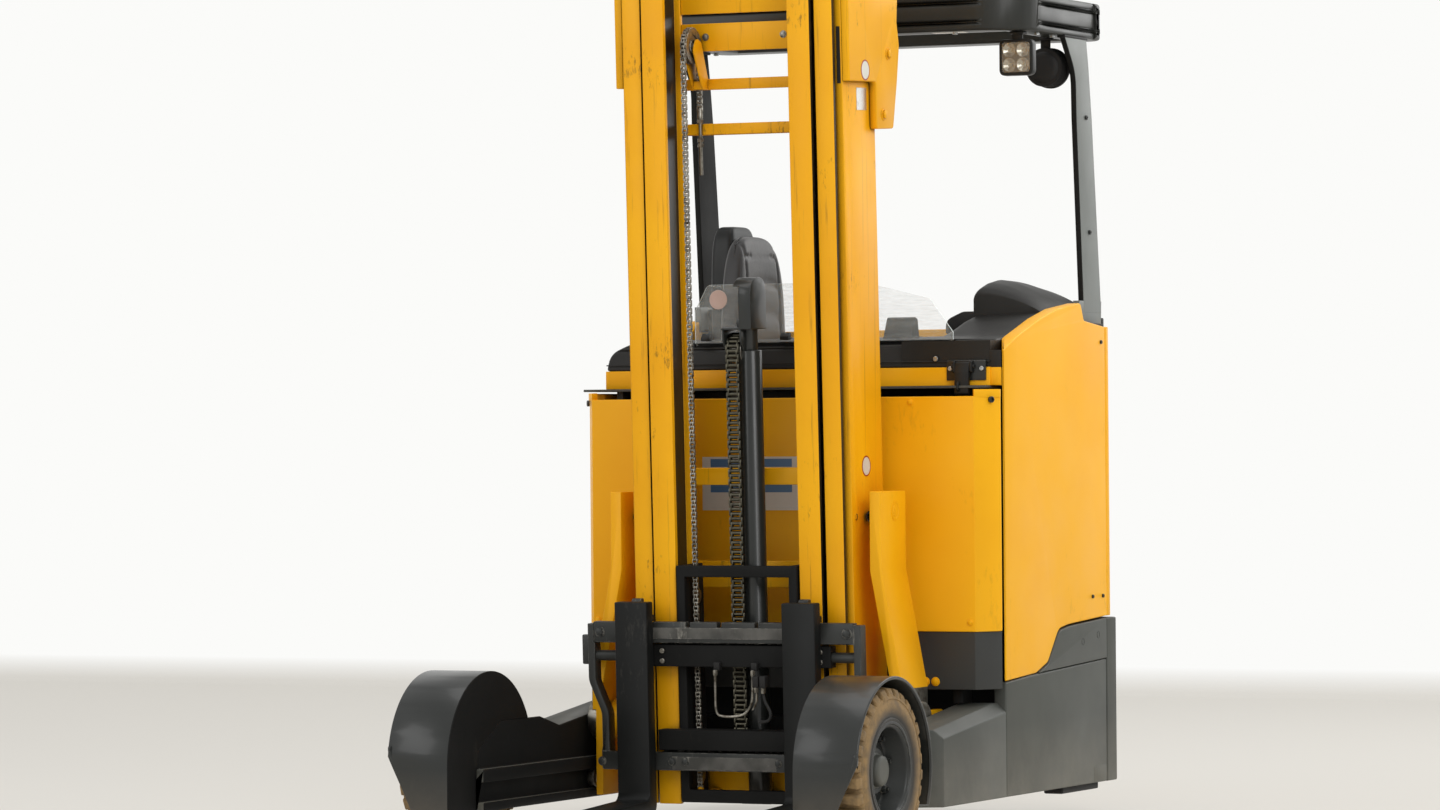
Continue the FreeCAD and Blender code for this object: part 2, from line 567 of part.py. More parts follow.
def sidePanels():
    outer = s.halfWidth
    left = prism("PanelLeft", "YZ", [
        (s.panelFront, s.panelLow), *panelEdge(0, 0),
        (s.panelRear, s.panelRearLow), (s.panelRear, s.panelRearTop),
        (s.panelPeakY + 25, s.panelRearTop + 16, 12), (s.panelPeakY, s.panelPeakZ, 16),
        (s.panelPeakY - 182, s.panelPeakZ - 20),
        (s.panelPeakY - 312, s.panelPeakZ - 49), (s.panelFront + 96, s.panelFrontTop + 38, 80),
        (s.panelFront, s.panelFrontTop)], outer - s.panelWall, outer)
    right = prism("PanelRight", "YZ", [
        (s.panelFront, s.panelLow), *panelEdge(s.entryDelay, 0),
        (s.panelRear, s.panelRearLow), (s.panelRear, s.panelRearTop), (s.panelPeakY, s.panelPeakZ, 90),
        (s.panelPeakY - 60, s.sidePodTop, 50), (s.entryRear, s.sidePodTop, 40),
        (s.entryRear, s.entrySill + 20, 20), (s.bulkheadY, s.entrySill + 20, 10),
        (s.bulkheadY, s.lidBottom - 5), (s.panelFront, s.lidBottom - 5)], -outer, -outer + s.panelWall)
    rear = prism("RearHood", "XY", [
        (-outer, s.panelRear), (outer, s.panelRear),
        (outer, s.rearEnd - 26, 40), (-outer, s.rearEnd - 26, 40)], s.panelRearLow, s.panelRearTop)
    addNode("side_panel_left", "chassis", left)
    addNode("side_panel_right", "chassis", right)
    addNode("rear_hood", "chassis", rear)


def cabInside():
    inside = s.halfWidth - s.panelWall
    floor = fuse("CabFloorPlates",
        box("FootWell", (-inside, inside), (s.bulkheadY, s.hoodFront), (s.bedTop - 2, s.entrySill)),
        box("SeatFloor", (-inside, -s.hoodLeft), (s.hoodFront - 1, s.panelRear), (s.bedTop - 2, s.entrySill)))
    backWall = box("BatteryWall", (-inside, inside), (s.batteryRear + 5, s.bulkheadY),
        (s.bedTop - 2, s.lidBottom))
    hood = prism("MotorHood", "YZ", [
        (s.hoodFront, s.bedTop - 2), (s.panelRear, s.bedTop - 2), (s.panelRear, s.hoodTop),
        (s.hoodFront + 20, s.hoodTop, 40)], 1 - s.hoodLeft, inside)
    hollow = box("MotorHoodHollow", (20 - s.hoodLeft, inside - 20), (s.hoodFront + 8, s.panelRear - 20),
        (s.bedTop - 3, s.hoodTop - 20))
    desk = prism("SteeringDesk", "YZ", [
        (s.steerY - 70, s.hoodTop - 1), (s.panelRear, s.hoodTop - 1), (s.panelRear, s.deskTop + 20),
        (s.steerY + 60, s.deskTop, 30), (s.steerY - 60, s.deskTop, 30)], 60, inside)
    deck = box("DeckFront", (-s.deckRight, inside), (s.deckFront, s.deckFront + 42), (s.lidTop, s.deckTop))
    pedalY = s.bulkheadY + 60
    pedals = [box("Pedal", (x, x + s.pedalWidth), (pedalY, pedalY + s.pedalLength),
        (s.entrySill + s.padGap, s.entrySill + 30)) for x in (300, 390, 480)]
    addNode("cab_floor", "chassis", fuse("CabFloorWall", floor, backWall))
    column = rod("SteerColumn", "Z", (s.steerX, s.steerY), 20, s.deskTop - 20, s.deskTop + 38)
    addNode("motor_hood", "chassis", fuse("MotorHoodColumn", cut("MotorHoodShell", hood, hollow), desk,
        column))
    addNode("deck_front", "chassis", deck)
    addNode("pedals", "chassis", *pedals)


def console():
    cover = prism("ConsoleCover", "YZ", [
        (s.deckFront + 2, s.deckTop), (s.consoleRear, s.deckTop), (s.consoleRear, s.consoleTop - 50, 30),
        (s.consoleRear - 130, s.consoleTop, 60), (s.deckFront + 40, s.consoleTop - 12, 40)],
        -s.halfWidth, s.halfWidth - s.panelWall)
    ends = prism("ConsoleEnds", "XZ", [
        (-s.deckRight, s.deckTop), (s.halfWidth, s.deckTop), (s.halfWidth, s.consoleTop),
        (-s.deckRight + 90, s.consoleTop + 6, 70), (-s.deckRight, s.deckTop + 50, 40)],
        s.deckFront, s.consoleRear + 1)
    inside = s.halfWidth - s.panelWall
    side = prism("HumpSide", "YZ", [
        (s.humpFront - 1, s.consoleTop), (s.consoleRear - 130, s.consoleTop),
        (s.consoleRear, s.consoleTop - 50), (s.consoleRear, s.deckTop), (s.humpRear, s.deckTop),
        (s.humpRear, s.humpTop - 16, 30), (s.consoleRear, s.humpTop, 90),
        (s.humpFront - 1, s.humpTop - 21, 40)], s.humpInner, inside)
    plan = prism("HumpPlan", "XY", [
        (s.humpInner + 110, s.humpFront + 14), (inside, s.humpFront), (inside, s.humpRear),
        (s.humpInner, s.humpRear), (s.humpInner, s.consoleRear + 15)], s.deckTop, s.humpTop + 1)
    hump = common("Hump", side, plan)
    screen = prism("Screen", "XZ", [
        (s.screenRight, s.consoleTop - 22), (s.screenLeft, s.consoleTop - 22),
        (s.screenLeft, s.consoleTop + 9),
        (s.screenLeft - 70, s.screenTop - 50, 30), (200, s.screenTop, 60),
        (s.screenRight + 40, s.screenTop, 20),
        (s.screenRight, s.screenTop - 75, 20)], s.screenY, s.screenY + s.screenWall)
    display = prism("Display", "YZ", [
        (s.displayY, s.consoleTop - 9), (s.displayY + 70, s.consoleTop - 9),
        (s.displayY + 55, s.displayTop, 12),
        (s.displayY + 30, s.displayTop, 12)], 225, 325)
    addNode("console_cover", "chassis", cut("ConsoleSlotted", common("Console", cover, ends), screen,
        display))
    addNode("instrument_hood", "chassis", hump)
    addNode("screen", "chassis", screen)
    addNode("display", "chassis", display)


def seat():
    base = box("SeatBase", (s.seatBack + 20, s.seatFront - 100), (s.seatNear + 60, s.seatFar - 60),
        (s.entrySill, s.seatTop - s.seatCushion - s.padGap))
    cushion = box("SeatCushion", (s.seatBack + s.backrestDepth + 8.3, s.seatFront), (s.seatNear, s.seatFar),
        (s.seatTop - s.seatCushion, s.seatTop))
    low = s.seatTop - s.seatCushion
    back = prism("Backrest", "YZ", [
        (s.seatNear + 20, low), (s.seatFar - 20, low), (s.seatFar - 20, s.backrestTop, 110),
        (s.seatNear + 20, s.backrestTop, 110)], s.seatBack + 20, s.seatBack + s.backrestDepth + 8)
    addNode("seat_base", "chassis", base)
    addNode("seat_cushion", "chassis", cushion)
    addNode("seat_backrest", "chassis", back)


def steering():
    centre = (s.steerX, s.steerY)
    base = s.deskTop + 38 + s.padGap
    wheel = fuse("SteerWheelFuse",
        cut("SteerRim",
            rod("SteerRimOuter", "Z", centre, s.steerWheelRadius, base + 12, base + 32),
            rod("SteerRimInner", "Z", centre, s.steerWheelRadius - 18, base + 11, base + 33)),
        box("SteerSpokeX", (s.steerX - s.steerWheelRadius + 6, s.steerX + s.steerWheelRadius - 6),
            (s.steerY - 14, s.steerY + 14), (base + 14, base + 26)),
        rod("SteerHub", "Z", centre, 34, base, base + 30),
        rod("SteerKnob", "Z", (s.steerX + s.steerWheelRadius - 19, s.steerY), 14, base + 20, base + 68))
    armrest = prism("Armrest", "YZ", [
        (s.seatNear - 86, 1100), (s.seatNear - 12, 1100), (s.seatNear - 12, 1160, 20),
        (s.seatNear - 86, 1160, 20)],
        s.seatBack + 90, s.seatFront + 60)
    armPost = box("ArmrestPost", (s.seatBack + 160, s.seatBack + 220), (s.seatNear - 70, s.seatNear - 30),
        (s.entrySill, 1100))
    lever = rod("LeverPost", "Z", (s.seatFront + 20, s.seatNear - 52), 9, 1155, 1235)
    knob = rod("LeverKnob", "Z", (s.seatFront + 20, s.seatNear - 52), 22, 1225, 1262)
    addNode("steering_wheel", "chassis", wheel)
    addNode("armrest", "chassis", fuse("ArmrestFuse", armrest, armPost, lever, knob))


# ---- Overhead guard and lamps ----

def guard():
    low = s.postLow
    bend = s.roofBottom - 234
    post = prism("GuardPost", "YZ", [
        (s.postFrontLow, low), (s.postFrontLow + s.postDepthLow, low),
        (s.postFrontHigh + s.postDepthHigh, bend), (s.postFrontHigh + s.postDepthHigh - 24, bend + 159, 200),
        (s.postFrontHigh + s.postDepthHigh - 40, s.roofBottom), (s.postFrontHigh - 90, s.roofBottom),
        (s.postFrontHigh - 4, bend + 129, 120), (s.postFrontHigh, bend)],
        s.postOuter - s.postWall, s.postOuter)
    foot = box("PostFoot", (s.postOuter - s.postWall - 40, s.postOuter - s.postWall),
        (s.postFrontLow + 20, s.panelRear), (s.deskTop + 140, s.postLow + 30))
    half = s.roofHalf
    rail = s.roofRail
    slab = prism("RoofSlab", "XY", [
        (-half, s.roofFront, s.roofCorner), (half, s.roofFront, s.roofCorner),
        (half, s.roofRear, 50), (-half, s.roofRear, 50)], s.roofBottom, s.roofTop)
    window = box("RoofWindow", (-half + rail, half - rail), (s.roofFront + rail, s.roofRear - rail),
        (s.roofBottom - 1, s.roofTop + 1))
    pitch = (half - rail) * 2 / (s.slatCount + 1)
    slats = [box("RoofSlat", (rail - half + pitch * i - s.slatWidth / 2,
        rail - half + pitch * i + s.slatWidth / 2),
        (s.roofFront + rail - 2, s.roofRear - rail + 2), (s.roofTop - 40, s.roofTop - 6))
        for i in range(1, int(s.slatCount.value) + 1)]
    addPair("guard_posts", "chassis", fuse("GuardPostFoot", post, foot))
    addNode("guard_roof", "chassis", fuse("GuardRoof", cut("RoofFrame", slab, window), *slats))


def lamps():
    half = s.lampSide / 2
    front = fuse("LampFront",
        box("LampBody", (s.lampX - half, s.lampX + half), (s.lampY, s.lampY + s.lampDepth),
            (s.lampZ - half, s.lampZ + half)),
        box("LampBracket", (s.lampX - 20, s.lampX + 20), (s.lampY + 14, s.lampY + 30),
            (s.lampZ + half - 2, s.roofBottom)))
    y = s.lampY + s.rearLampBack
    rear = fuse("LampRear",
        rod("RearLampBody", "Y", (s.lampX - 36, s.lampZ - 12), s.rearLampRadius, y, y + 70),
        box("RearLampBracket", (s.lampX - 44, s.lampX - 28), (y + 24, y + 40), (s.lampZ + 40, s.roofBottom)))
    addNode("work_lamps", "chassis", front, rear)


# ---- Reach carriage ----

def reachCarriage():
    inner = s.cheekInner
    outer = inner + s.cheekWall
    plate = inner + s.cheekPlate
    shift = inner - s.uprightInner
    side = prism("Upright", "XZ", [
        (s.uprightInner, s.uprightTop), (s.uprightInner, s.uprightBend), (inner, s.uprightBend - 330),
        (inner, s.cheekTop - 2), (outer, s.cheekTop - 2), (outer, s.uprightBend - 326),
        (outer - shift, s.uprightBend + 6), (outer - shift, s.uprightTop)], s.uprightFront, s.uprightRear)
    cheek = box("CheekPlate", (inner, plate), (s.cheekFront, s.cheekRear), (s.cheekLow, s.cheekTop))
    beam = box("CrossBeam", (-inner, inner), (s.beamFront, s.beamRear), (s.beamLow, s.beamHigh))
    grooveZ = (s.trackGrooveLow + s.trackGrooveHigh) / 2
    rollers = [rod("TrackRoller", "X", (y, grooveZ), s.trackRollerRadius, outer + 8, s.armInner - 2)
        for y in (s.cheekFront + 50, s.cheekRear - 50)]
    stubs = [rod("TrackStub", "X", (y, grooveZ), 14, plate, outer + 8)
        for y in (s.cheekFront + 50, s.cheekRear - 50)]
    pivot = fuse("PivotPin",
        rod("PivotShaft", "X", (s.pivotY, s.pivotZ), s.pivotPin, s.outerFace + 5, outer),
        rod("PivotDisc", "X", (s.pivotY, s.pivotZ), s.pivotDisc, plate, s.armInner - 7))
    addPair("reach_uprights", "chassis", fuse("ReachUpright", side, cheek, pivot, *rollers, *stubs))
    addNode("reach_beam", "chassis", beam)


def tiltCylinders():
    x = (s.outerFace + s.uprightInner) / 2
    barrel = cut("TiltBarrel",
        fuse("TiltBarrelOutside",
            rod("TiltBarrelTube", "Y", (x, s.tiltPinZ), s.tiltBarrel, s.tiltPinY - 50, s.tiltPinY + 40),
            rod("TiltPin", "X", (s.tiltPinY, s.tiltPinZ), 16, x, s.uprightInner)),
        rod("TiltBore", "Y", (x, s.tiltPinZ), s.tiltRod + s.rodClear, s.tiltPinY - 51, s.tiltPinY + 30))
    eye = s.tiltPinY - s.tiltReach
    shaft = cut("TiltRodEye",
        fuse("TiltRodOutside",
            rod("TiltShaft", "Y", (x, s.tiltPinZ), s.tiltRod, eye, s.tiltPinY - 8),
            rod("TiltEye", "X", (eye, s.tiltPinZ), 20, x - 10, x + 10)),
        rod("TiltEyeBore", "X", (eye, s.tiltPinZ), s.tiltEyePin + s.tiltEyePlay, x - 11, x + 11))
    addPair("tilt_cylinders", "chassis", barrel)
    addPair("tilt_rods", "chassis", shaft)


# ---- Mast ----

def rail(name, outline, low, high):
    return prism(name, "XY", outline, low, high)


def outerMast():
    face = s.outerFace
    web = face - s.outerWeb
    lip = face - s.outerLip
    rearLip = lip + 28
    front = s.outerFront
    flangeRear = s.midRear + s.railGap
    left = rail("OuterRail", [
        (web - 13, front), (face, front), (face, s.outerRear), (rearLip, s.outerRear),
        (rearLip, s.outerRear - s.flange), (web, s.outerRear - s.flange), (web, flangeRear + s.flange),
        (lip, flangeRear + s.flange), (lip, flangeRear), (web, flangeRear), (web, front + s.flange),
        (web - 13, front + s.flange)], s.mastLow, s.outerHigh)
    high = s.outerHigh
    crossHeights = ((s.mastLow, s.mastLow + 150), (s.mastLow + 598, s.mastLow + 673),
        (s.anchorLow - 20, s.anchorLow + 27), (high - 545, high - 513), (high - 150, high - 20))
    crosses = [box("OuterCross", (-lip, lip), (flangeRear + 6, flangeRear + s.flange), heights)
        for heights in crossHeights]
    lug = cut("PivotLug",
        rod("PivotLugRing", "X", (0, 0), s.pivotDisc, face, s.cheekInner - 6),
        rod("PivotLugBore", "X", (0, 0), s.pivotPin + s.pinClear, face, s.cheekInner))
    eyeY = s.tiltPinY - s.tiltReach - s.pivotY
    eyeZ = s.tiltPinZ - s.pivotZ
    pinY = eyeY * cosine(s.mastTilt) + eyeZ * sine(s.mastTilt)
    pinZ = eyeZ * cosine(s.mastTilt) - eyeY * sine(s.mastTilt)
    eyePin = rod("EyePin", "X", (pinY, pinZ), s.tiltEyePin, face - 2, s.uprightInner - 8)
    low = s.headLow
    rear = s.headRear
    head = prism("HeadPlate", "YZ", [
        (front, high), (front, low + 132), (rear - 168, low + 132, 8), (rear - 168, low, 8),
        (rear - 53, low + 2, 12), (rear - 19, low + 138, 60), (rear, low + 235, 60),
        (rear - 14, low + 301, 20), (rear - 6, low + 366, 40), (rear - 22, high, 60)],
        face, face + s.headWall)
    addPair("outer_mast_rails", "mast", fuse("OuterRailLug", left, lug, eyePin))
    addNode("outer_mast_crossbars", "mast", *crosses)
    addPair("mast_head_plates", "mast", head)


def middleMast():
    face = s.midFace
    web = s.midWeb
    lip = face - s.midLip
    frontLip = lip + 17
    high = s.midHigh
    left = rail("MiddleRail", [
        (frontLip, s.midFront), (face, s.midFront), (face, s.midFront + s.flange),
        (web, s.midFront + s.flange),
        (web, s.midRear - s.flange), (web + 11, s.midRear - s.flange), (web + 11, s.midRear),
        (lip, s.midRear),
        (lip, s.midRear - s.flange), (web - s.web, s.midRear - s.flange),
        (web - s.web, s.midFront + s.flange),
        (frontLip, s.midFront + s.flange)], s.mastLow, high)
    crossHeights = ((s.mastLow, s.mastLow + 110), (s.anchorLow - 20, s.anchorLow + 27),
        (high - 456, high - 425), (high - 120, high))
    crosses = [box("MiddleCross", (-lip, lip), (s.innerRear + 5, s.midRear + 3), heights)
        for heights in crossHeights]
    rollerY = (s.outerFront + s.flange + s.midRear + s.railGap) / 2
    roller = rod("MiddleRoller", "X", (rollerY, s.mastLow + 90), s.midRoller, web, web + 16)
    bracket = box("RodBracket", (s.barrelX - 60, s.barrelX + 40), (s.midRear, s.barrelY + 30),
        (high - 30, high))
    addPair("middle_mast_rails", "mast", fuse("MiddleRailRoller", left, roller))
    top = fuse("MiddleTop", crosses.pop(), bracket, mirror("RodBracketMirror", bracket))
    addNode("middle_mast_crossbars", "mast", *crosses, top)


def innerMast():
    face = s.innerFace
    web = s.innerWeb
    lip = face - s.innerLip
    high = s.innerHigh
    left = rail("InnerRail", [
        (s.innerOpening, s.innerFront), (face, s.innerFront), (face, s.innerFront + s.flange),
        (web, s.innerFront + s.flange), (web, s.innerRear - s.flange), (web + 17, s.innerRear - s.flange),
        (web + 17, s.innerRear), (lip, s.innerRear), (lip, s.innerRear - s.flange),
        (web - s.web, s.innerRear - s.flange), (web - s.web, s.innerFront + s.flange),
        (s.innerOpening, s.innerFront + s.flange)], s.mastLow, high)
    crossHeights = ((s.mastLow, s.mastLow + 90), (s.anchorLow - 20, s.anchorLow + 27),
        (high - 594, high - 563), (high - 360, high - 282), (high - 255, high))
    crosses = [box("InnerCross", (-lip, lip), (s.innerRear - 10, s.innerRear), heights)
        for heights in crossHeights]
    rollerY = (s.midFront + s.midRear) / 2
    roller = rod("InnerRoller", "X", (rollerY, s.mastLow + 90), s.rollerRadius, web, web + 58)
    anchor = box("ChainAnchor", (s.chainX - s.chainWidth / 2, s.chainX + s.chainWidth / 2),
        (s.freeY + s.pulleyRadius - s.chainThick / 2, s.innerRear - 10), (s.anchorLow, s.anchorHigh))
    crosses[1] = fuse("InnerCrossAnchor", crosses[1], anchor)
    addPair("inner_mast_rails", "mast", fuse("InnerRailRoller", left, roller))
    addNode("inner_mast_crossbars", "mast", *crosses)


def liftCylinders():
    centre = (s.barrelX, s.barrelY)
    rodTop = s.midHigh - 30
    barrel = cut("LiftBarrel",
        rod("LiftBarrelTube", "Z", centre, s.barrelRadius, s.mastLow, s.barrelHigh),
        rod("LiftBarrelBore", "Z", centre, s.liftRodRadius + s.rodClear, s.mastLow + 30, s.barrelHigh + 1))
    shaft = rod("LiftRod", "Z", centre, s.liftRodRadius, s.mastLow + 31, rodTop)
    addPair("lift_cylinders", "mast", barrel)
    addPair("lift_rods", "mast", shaft)


def freeLift():
    centre = (s.freeX, s.freeY)
    foot = box("FreeFoot", (s.freeX - 45, s.freeX + 45), (s.freeY - 30, s.innerRear - 10),
        (s.mastLow, s.mastLow + 30))
    barrel = cut("FreeBarrel",
        rod("FreeBarrelTube", "Z", centre, s.freeRadius, s.mastLow + 30, s.freeHigh),
        rod("FreeBarrelBore", "Z", centre, s.freeRodRadius + s.rodClear, s.mastLow + 60, s.freeHigh + 1))
    shaft = rod("FreeRod", "Z", centre, s.freeRodRadius, s.mastLow + 61, s.freeHigh + 60)
    head = prism("PulleyGuard", "YZ", [
        (s.freeY - 56, s.freeHigh + 60), (s.freeY + 48, s.freeHigh + 60), (s.freeY + 48, s.freeTop, 40),
        (s.freeY - 56, s.freeTop, 50)], s.chainX - 31, s.freeX + 30)
    slot = box("PulleySlot", (s.chainX - 25, s.chainX + 25), (s.freeY - 70, s.freeY + 60),
        (s.freeHigh + 59, s.freeTop - 24))
    pulleyZ = s.freeTop - s.pulleyDrop
    pulley = fuse("Pulley",
        rod("PulleyDisc", "X", (s.freeY, pulleyZ), s.pulleyRadius - 8, s.chainX - 22, s.chainX + 22),
        rod("PulleyPin", "X", (s.freeY, pulleyZ), 12, s.chainX - 25, s.chainX + 25))
    addNode("free_lift_cylinder", "mast", fuse("FreeCylinder", foot, barrel))
    addNode("free_lift_rod", "mast", fuse("FreeRodHead", shaft, cut("PulleyGuardCut", head, slot)))
    addNode("chain_pulley", "mast", pulley)
    chainTop = pulleyZ
    half = s.chainWidth / 2
    front = s.freeY - s.pulleyRadius
    rear = s.freeY + s.pulleyRadius
    thick = s.chainThick / 2
    frontChain = box("ChainFront", (s.chainX - half, s.chainX + half), (front - thick, front + thick),
        (s.chainLow, chainTop))
    rearChain = box("ChainRear", (s.chainX - half, s.chainX + half), (rear - thick, rear + thick),
        (s.anchorHigh, chainTop))
    addNode("lift_chains", "mast", frontChain, rearChain)


# ---- Fork carriage ----

def forkCarriage():
    half = s.frameHalf
    back = s.carriageFace
    plateX = (half - s.framePlate, half)
    plates = [box("FramePlate", xs, (back, 0), (s.frameLow, s.frameHigh))
        for xs in (plateX, (-half, s.framePlate - half))]
    barHeights = ((s.frameHigh - 32, s.frameHigh), (s.frameLow, s.frameLow + 36),
        (s.lowerBarHigh, s.lowerFaceHigh), (s.upperFaceLow, s.upperFaceHigh))
    bars = [box("FrameBar", (-half, half), (back, back + s.carriageWall), heights) for heights in barHeights]
    rodY = (s.housingFront + back) / 2
    housing = cut("ShiftHousing",
        box("HousingBlock", (-s.housingHalf, s.housingHalf), (s.housingFront, back),
        (s.upperFaceLow, s.upperFaceHigh)),
        rod("HousingBore", "X", (rodY, s.shiftRodZ), s.shiftRod + s.padGap, -s.housingHalf - 1,
        s.housingHalf + 1))
    lowerFace = box("LowerFace", (-s.lowerFaceHalf, s.lowerFaceHalf), (s.housingFront, back),
        (s.lowerFaceLow, s.lowerFaceHigh))
    roller = [rod("CarriageRoller", "X", ((s.innerFront + s.innerRear) / 2, z), s.rollerRadius, half,
        half + 26)
        for z in (s.frameLow + 70, s.frameHigh - 90)]
    pair = [mirror("CarriageRollerMirror", piece) for piece in roller]
    chainY = s.freeY - s.pulleyRadius
    chainLug = box("ChainLug", (s.chainX - 30, s.chainX + 30), (back + 1, chainY + 8),
        (s.chainLow - 50, s.chainLow))
    addNode("carriage_frame", "mast",
        fuse("CarriageFrame", *plates, *bars, housing, lowerFace, *roller, *pair, chainLug))


def shiftBracket(side):
    # Bent bar that joins the upper and lower bars at one end.
    x = s.shiftRest
    reach = s.bracketReach
    wall = s.bracketWall
    foot = s.lowerBarHalf
    outline = [
        (x + side * (reach - wall), s.upperBarHigh - 6), (x + side * (reach - wall), s.bracketBend, 60),
        (x + side * (foot - wall), s.bracketFoot, 60), (x + side * (foot - wall), s.lowerBarLow),
        (x + side * foot, s.lowerBarLow), (x + side * foot, s.bracketFoot, 60),
        (x + side * reach, s.bracketBend, 60), (x + side * reach, s.upperBarHigh - 6)]
    if side < 0:
        outline.reverse()
    return prism("ShiftBracket", "XZ", outline, s.barFront + 2, s.bracketRear)


def sideShift():
    x = s.shiftRest
    front = s.barFront
    back = front + s.barWall
    upper = box("UpperBar", (x - s.barHalf, x + s.barHalf), (front, back), (s.upperBarLow, s.upperBarHigh))
    lower = box("LowerBar", (x - s.lowerBarHalf + 1, x + s.lowerBarHalf - 1), (front, back),
        (s.lowerBarLow, s.lowerBarHigh))
    rodY = (s.housingFront + s.carriageFace) / 2
    shaft = rod("ShiftRod", "X", (rodY, s.shiftRodZ), s.shiftRod, x - s.bracketReach + 4,
        x + s.bracketReach - 4)
    strip = box("BearingStrip", (x - 200, x + 200), (back - 1, back + 14),
        (s.upperFaceHigh + s.padGap, s.upperBarLow + 17))
    keeper = box("LowerKeeper", (x - 200, x + 200), (back - 1, back + 14),
        (s.keeperLow, s.lowerFaceLow - s.padGap))
    brackets = [shiftBracket(side) for side in (-1, 1)]
    addNode("side_shift_frame", "mast", fuse("SideShiftFrame", upper, lower, shaft, strip, keeper, *brackets))


def fork(name, x):
    front = s.barFront
    low = s.forkLow
    thick = s.forkThick
    half = s.forkWidth / 2
    profile = prism(name + "Profile", "YZ", [
        (front, low + 4, 30), (front, s.forkTop), (front - thick + 5, s.forkTop),
        (front - thick, low + thick, 26),
        (tipY, low + 14 + s.forkTip), (tipY, low + 14), (front - thick - 500, low)], x - half, x + half)
    plan = prism(name + "Plan", "XY", [
        (x - half, front), (x - half, tipY + 120), (x - half + 26, tipY, 18), (x + half - 26, tipY, 18),
        (x + half, tipY + 120), (x + half, front)], low - 5, s.forkTop + 5)
    hook = box(name + "Hook", (x - half + 10, x + half - 10), (front - 1, front + s.barWall + s.hookDepth),
        (s.upperBarHigh, s.upperBarHigh + s.hookHeight))
    return fuse(name, common(name + "Shape", profile, plan), hook)


def forks():
    x = s.shiftRest + s.forkOffset
    addNode("fork_left", "mast", fork("ForkLeft", x + s.forkSpread))
    addNode("fork_right", "mast", fork("ForkRight", x - s.forkSpread))


def build():
    for step in (loadWheels, driveWheel, wheelArms, fenders, chassisFrame, sills, battery, sidePanels,
            cabInside, console, seat, steering, guard, lamps, reachCarriage, tiltCylinders, outerMast,
            middleMast, innerMast, liftCylinders, freeLift, forkCarriage, sideShift, forks):
        step()
    doc.recompute()
    for item in doc.Objects:
        if "Invalid" in item.State or "Error" in item.State:
            raise RuntimeError(f"{item.Label} failed: {item.State}")
    os.makedirs("parts", exist_ok=True)
    for node in nodes:
        if node.Shape.isNull() or not node.Shape.isValid():
            raise RuntimeError(f"{node.Label} has no valid shape")
        node.Shape.exportStep(f"parts/{node.Label}.step")
    print(len(nodes), "nodes")


build()
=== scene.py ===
import json
import math

import bmesh
import bpy
from mathutils import Matrix, Vector

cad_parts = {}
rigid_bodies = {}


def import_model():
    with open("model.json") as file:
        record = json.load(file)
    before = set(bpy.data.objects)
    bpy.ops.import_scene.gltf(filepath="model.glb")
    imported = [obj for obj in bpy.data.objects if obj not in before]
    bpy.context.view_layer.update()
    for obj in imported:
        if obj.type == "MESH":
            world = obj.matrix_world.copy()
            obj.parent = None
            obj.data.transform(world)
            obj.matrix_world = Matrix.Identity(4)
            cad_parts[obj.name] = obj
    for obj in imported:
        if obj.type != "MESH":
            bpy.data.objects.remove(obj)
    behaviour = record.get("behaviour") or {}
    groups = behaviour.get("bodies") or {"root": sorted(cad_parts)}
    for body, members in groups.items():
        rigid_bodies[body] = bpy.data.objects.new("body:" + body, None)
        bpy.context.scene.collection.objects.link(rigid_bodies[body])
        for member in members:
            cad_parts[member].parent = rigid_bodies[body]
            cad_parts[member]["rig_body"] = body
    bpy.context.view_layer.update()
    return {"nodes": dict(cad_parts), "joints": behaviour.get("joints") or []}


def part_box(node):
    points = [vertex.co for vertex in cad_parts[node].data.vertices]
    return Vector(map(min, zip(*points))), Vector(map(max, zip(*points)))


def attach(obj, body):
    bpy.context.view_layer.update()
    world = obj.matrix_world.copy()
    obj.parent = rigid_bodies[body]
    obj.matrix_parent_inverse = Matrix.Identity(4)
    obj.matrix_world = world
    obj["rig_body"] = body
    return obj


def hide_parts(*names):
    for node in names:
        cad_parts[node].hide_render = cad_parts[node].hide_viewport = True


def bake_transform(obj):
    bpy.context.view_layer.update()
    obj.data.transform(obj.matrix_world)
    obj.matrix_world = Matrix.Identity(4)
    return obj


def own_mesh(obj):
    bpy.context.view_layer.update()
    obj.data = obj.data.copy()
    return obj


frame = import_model()
scene = bpy.context.scene
print("frame loaded")


def jointNamed(name):
    return next(joint for joint in frame["joints"] if joint["name"] == name)


def middleOf(node):
    low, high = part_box(node)
    return (low + high) / 2


axleY = middleOf("load_tyre_left").y
liftAxis = Vector(jointNamed("carriage_lift")["axis"])
mastLean = math.atan2(-liftAxis.y, liftAxis.z)
chassisPlace = Matrix.Translation((0, axleY, 0)) @ Matrix.Scale(0.001, 4)
mastPlace = Matrix.Translation(jointNamed("mast_tilt")["pos_m"]) @ Matrix.Rotation(mastLean, 4, "X") \
    @ Matrix.Scale(0.001, 4)


# Camera, light and floor

cameraSettings = {"place": (6.774, axleY - 13.861, 1.150), "azimuth": 25.4, "rise": 0.19, "roll": 0.46,
    "lens": 142.5, "sensor": 36, "far": 200}


def makeCamera():
    settings = cameraSettings
    camera = bpy.data.objects.new("Camera", bpy.data.cameras.new("Camera"))
    scene.collection.objects.link(camera)
    turn = Matrix.Rotation(math.radians(settings["azimuth"]), 4, "Z")
    rise = Matrix.Rotation(math.radians(90 + settings["rise"]), 4, "X")
    roll = Matrix.Rotation(math.radians(-settings["roll"]), 4, "Z")
    camera.matrix_world = Matrix.Translation(settings["place"]) @ turn @ rise @ roll
    camera.data.lens = settings["lens"]
    camera.data.sensor_width = settings["sensor"]
    camera.data.clip_end = settings["far"]
    scene.camera = camera


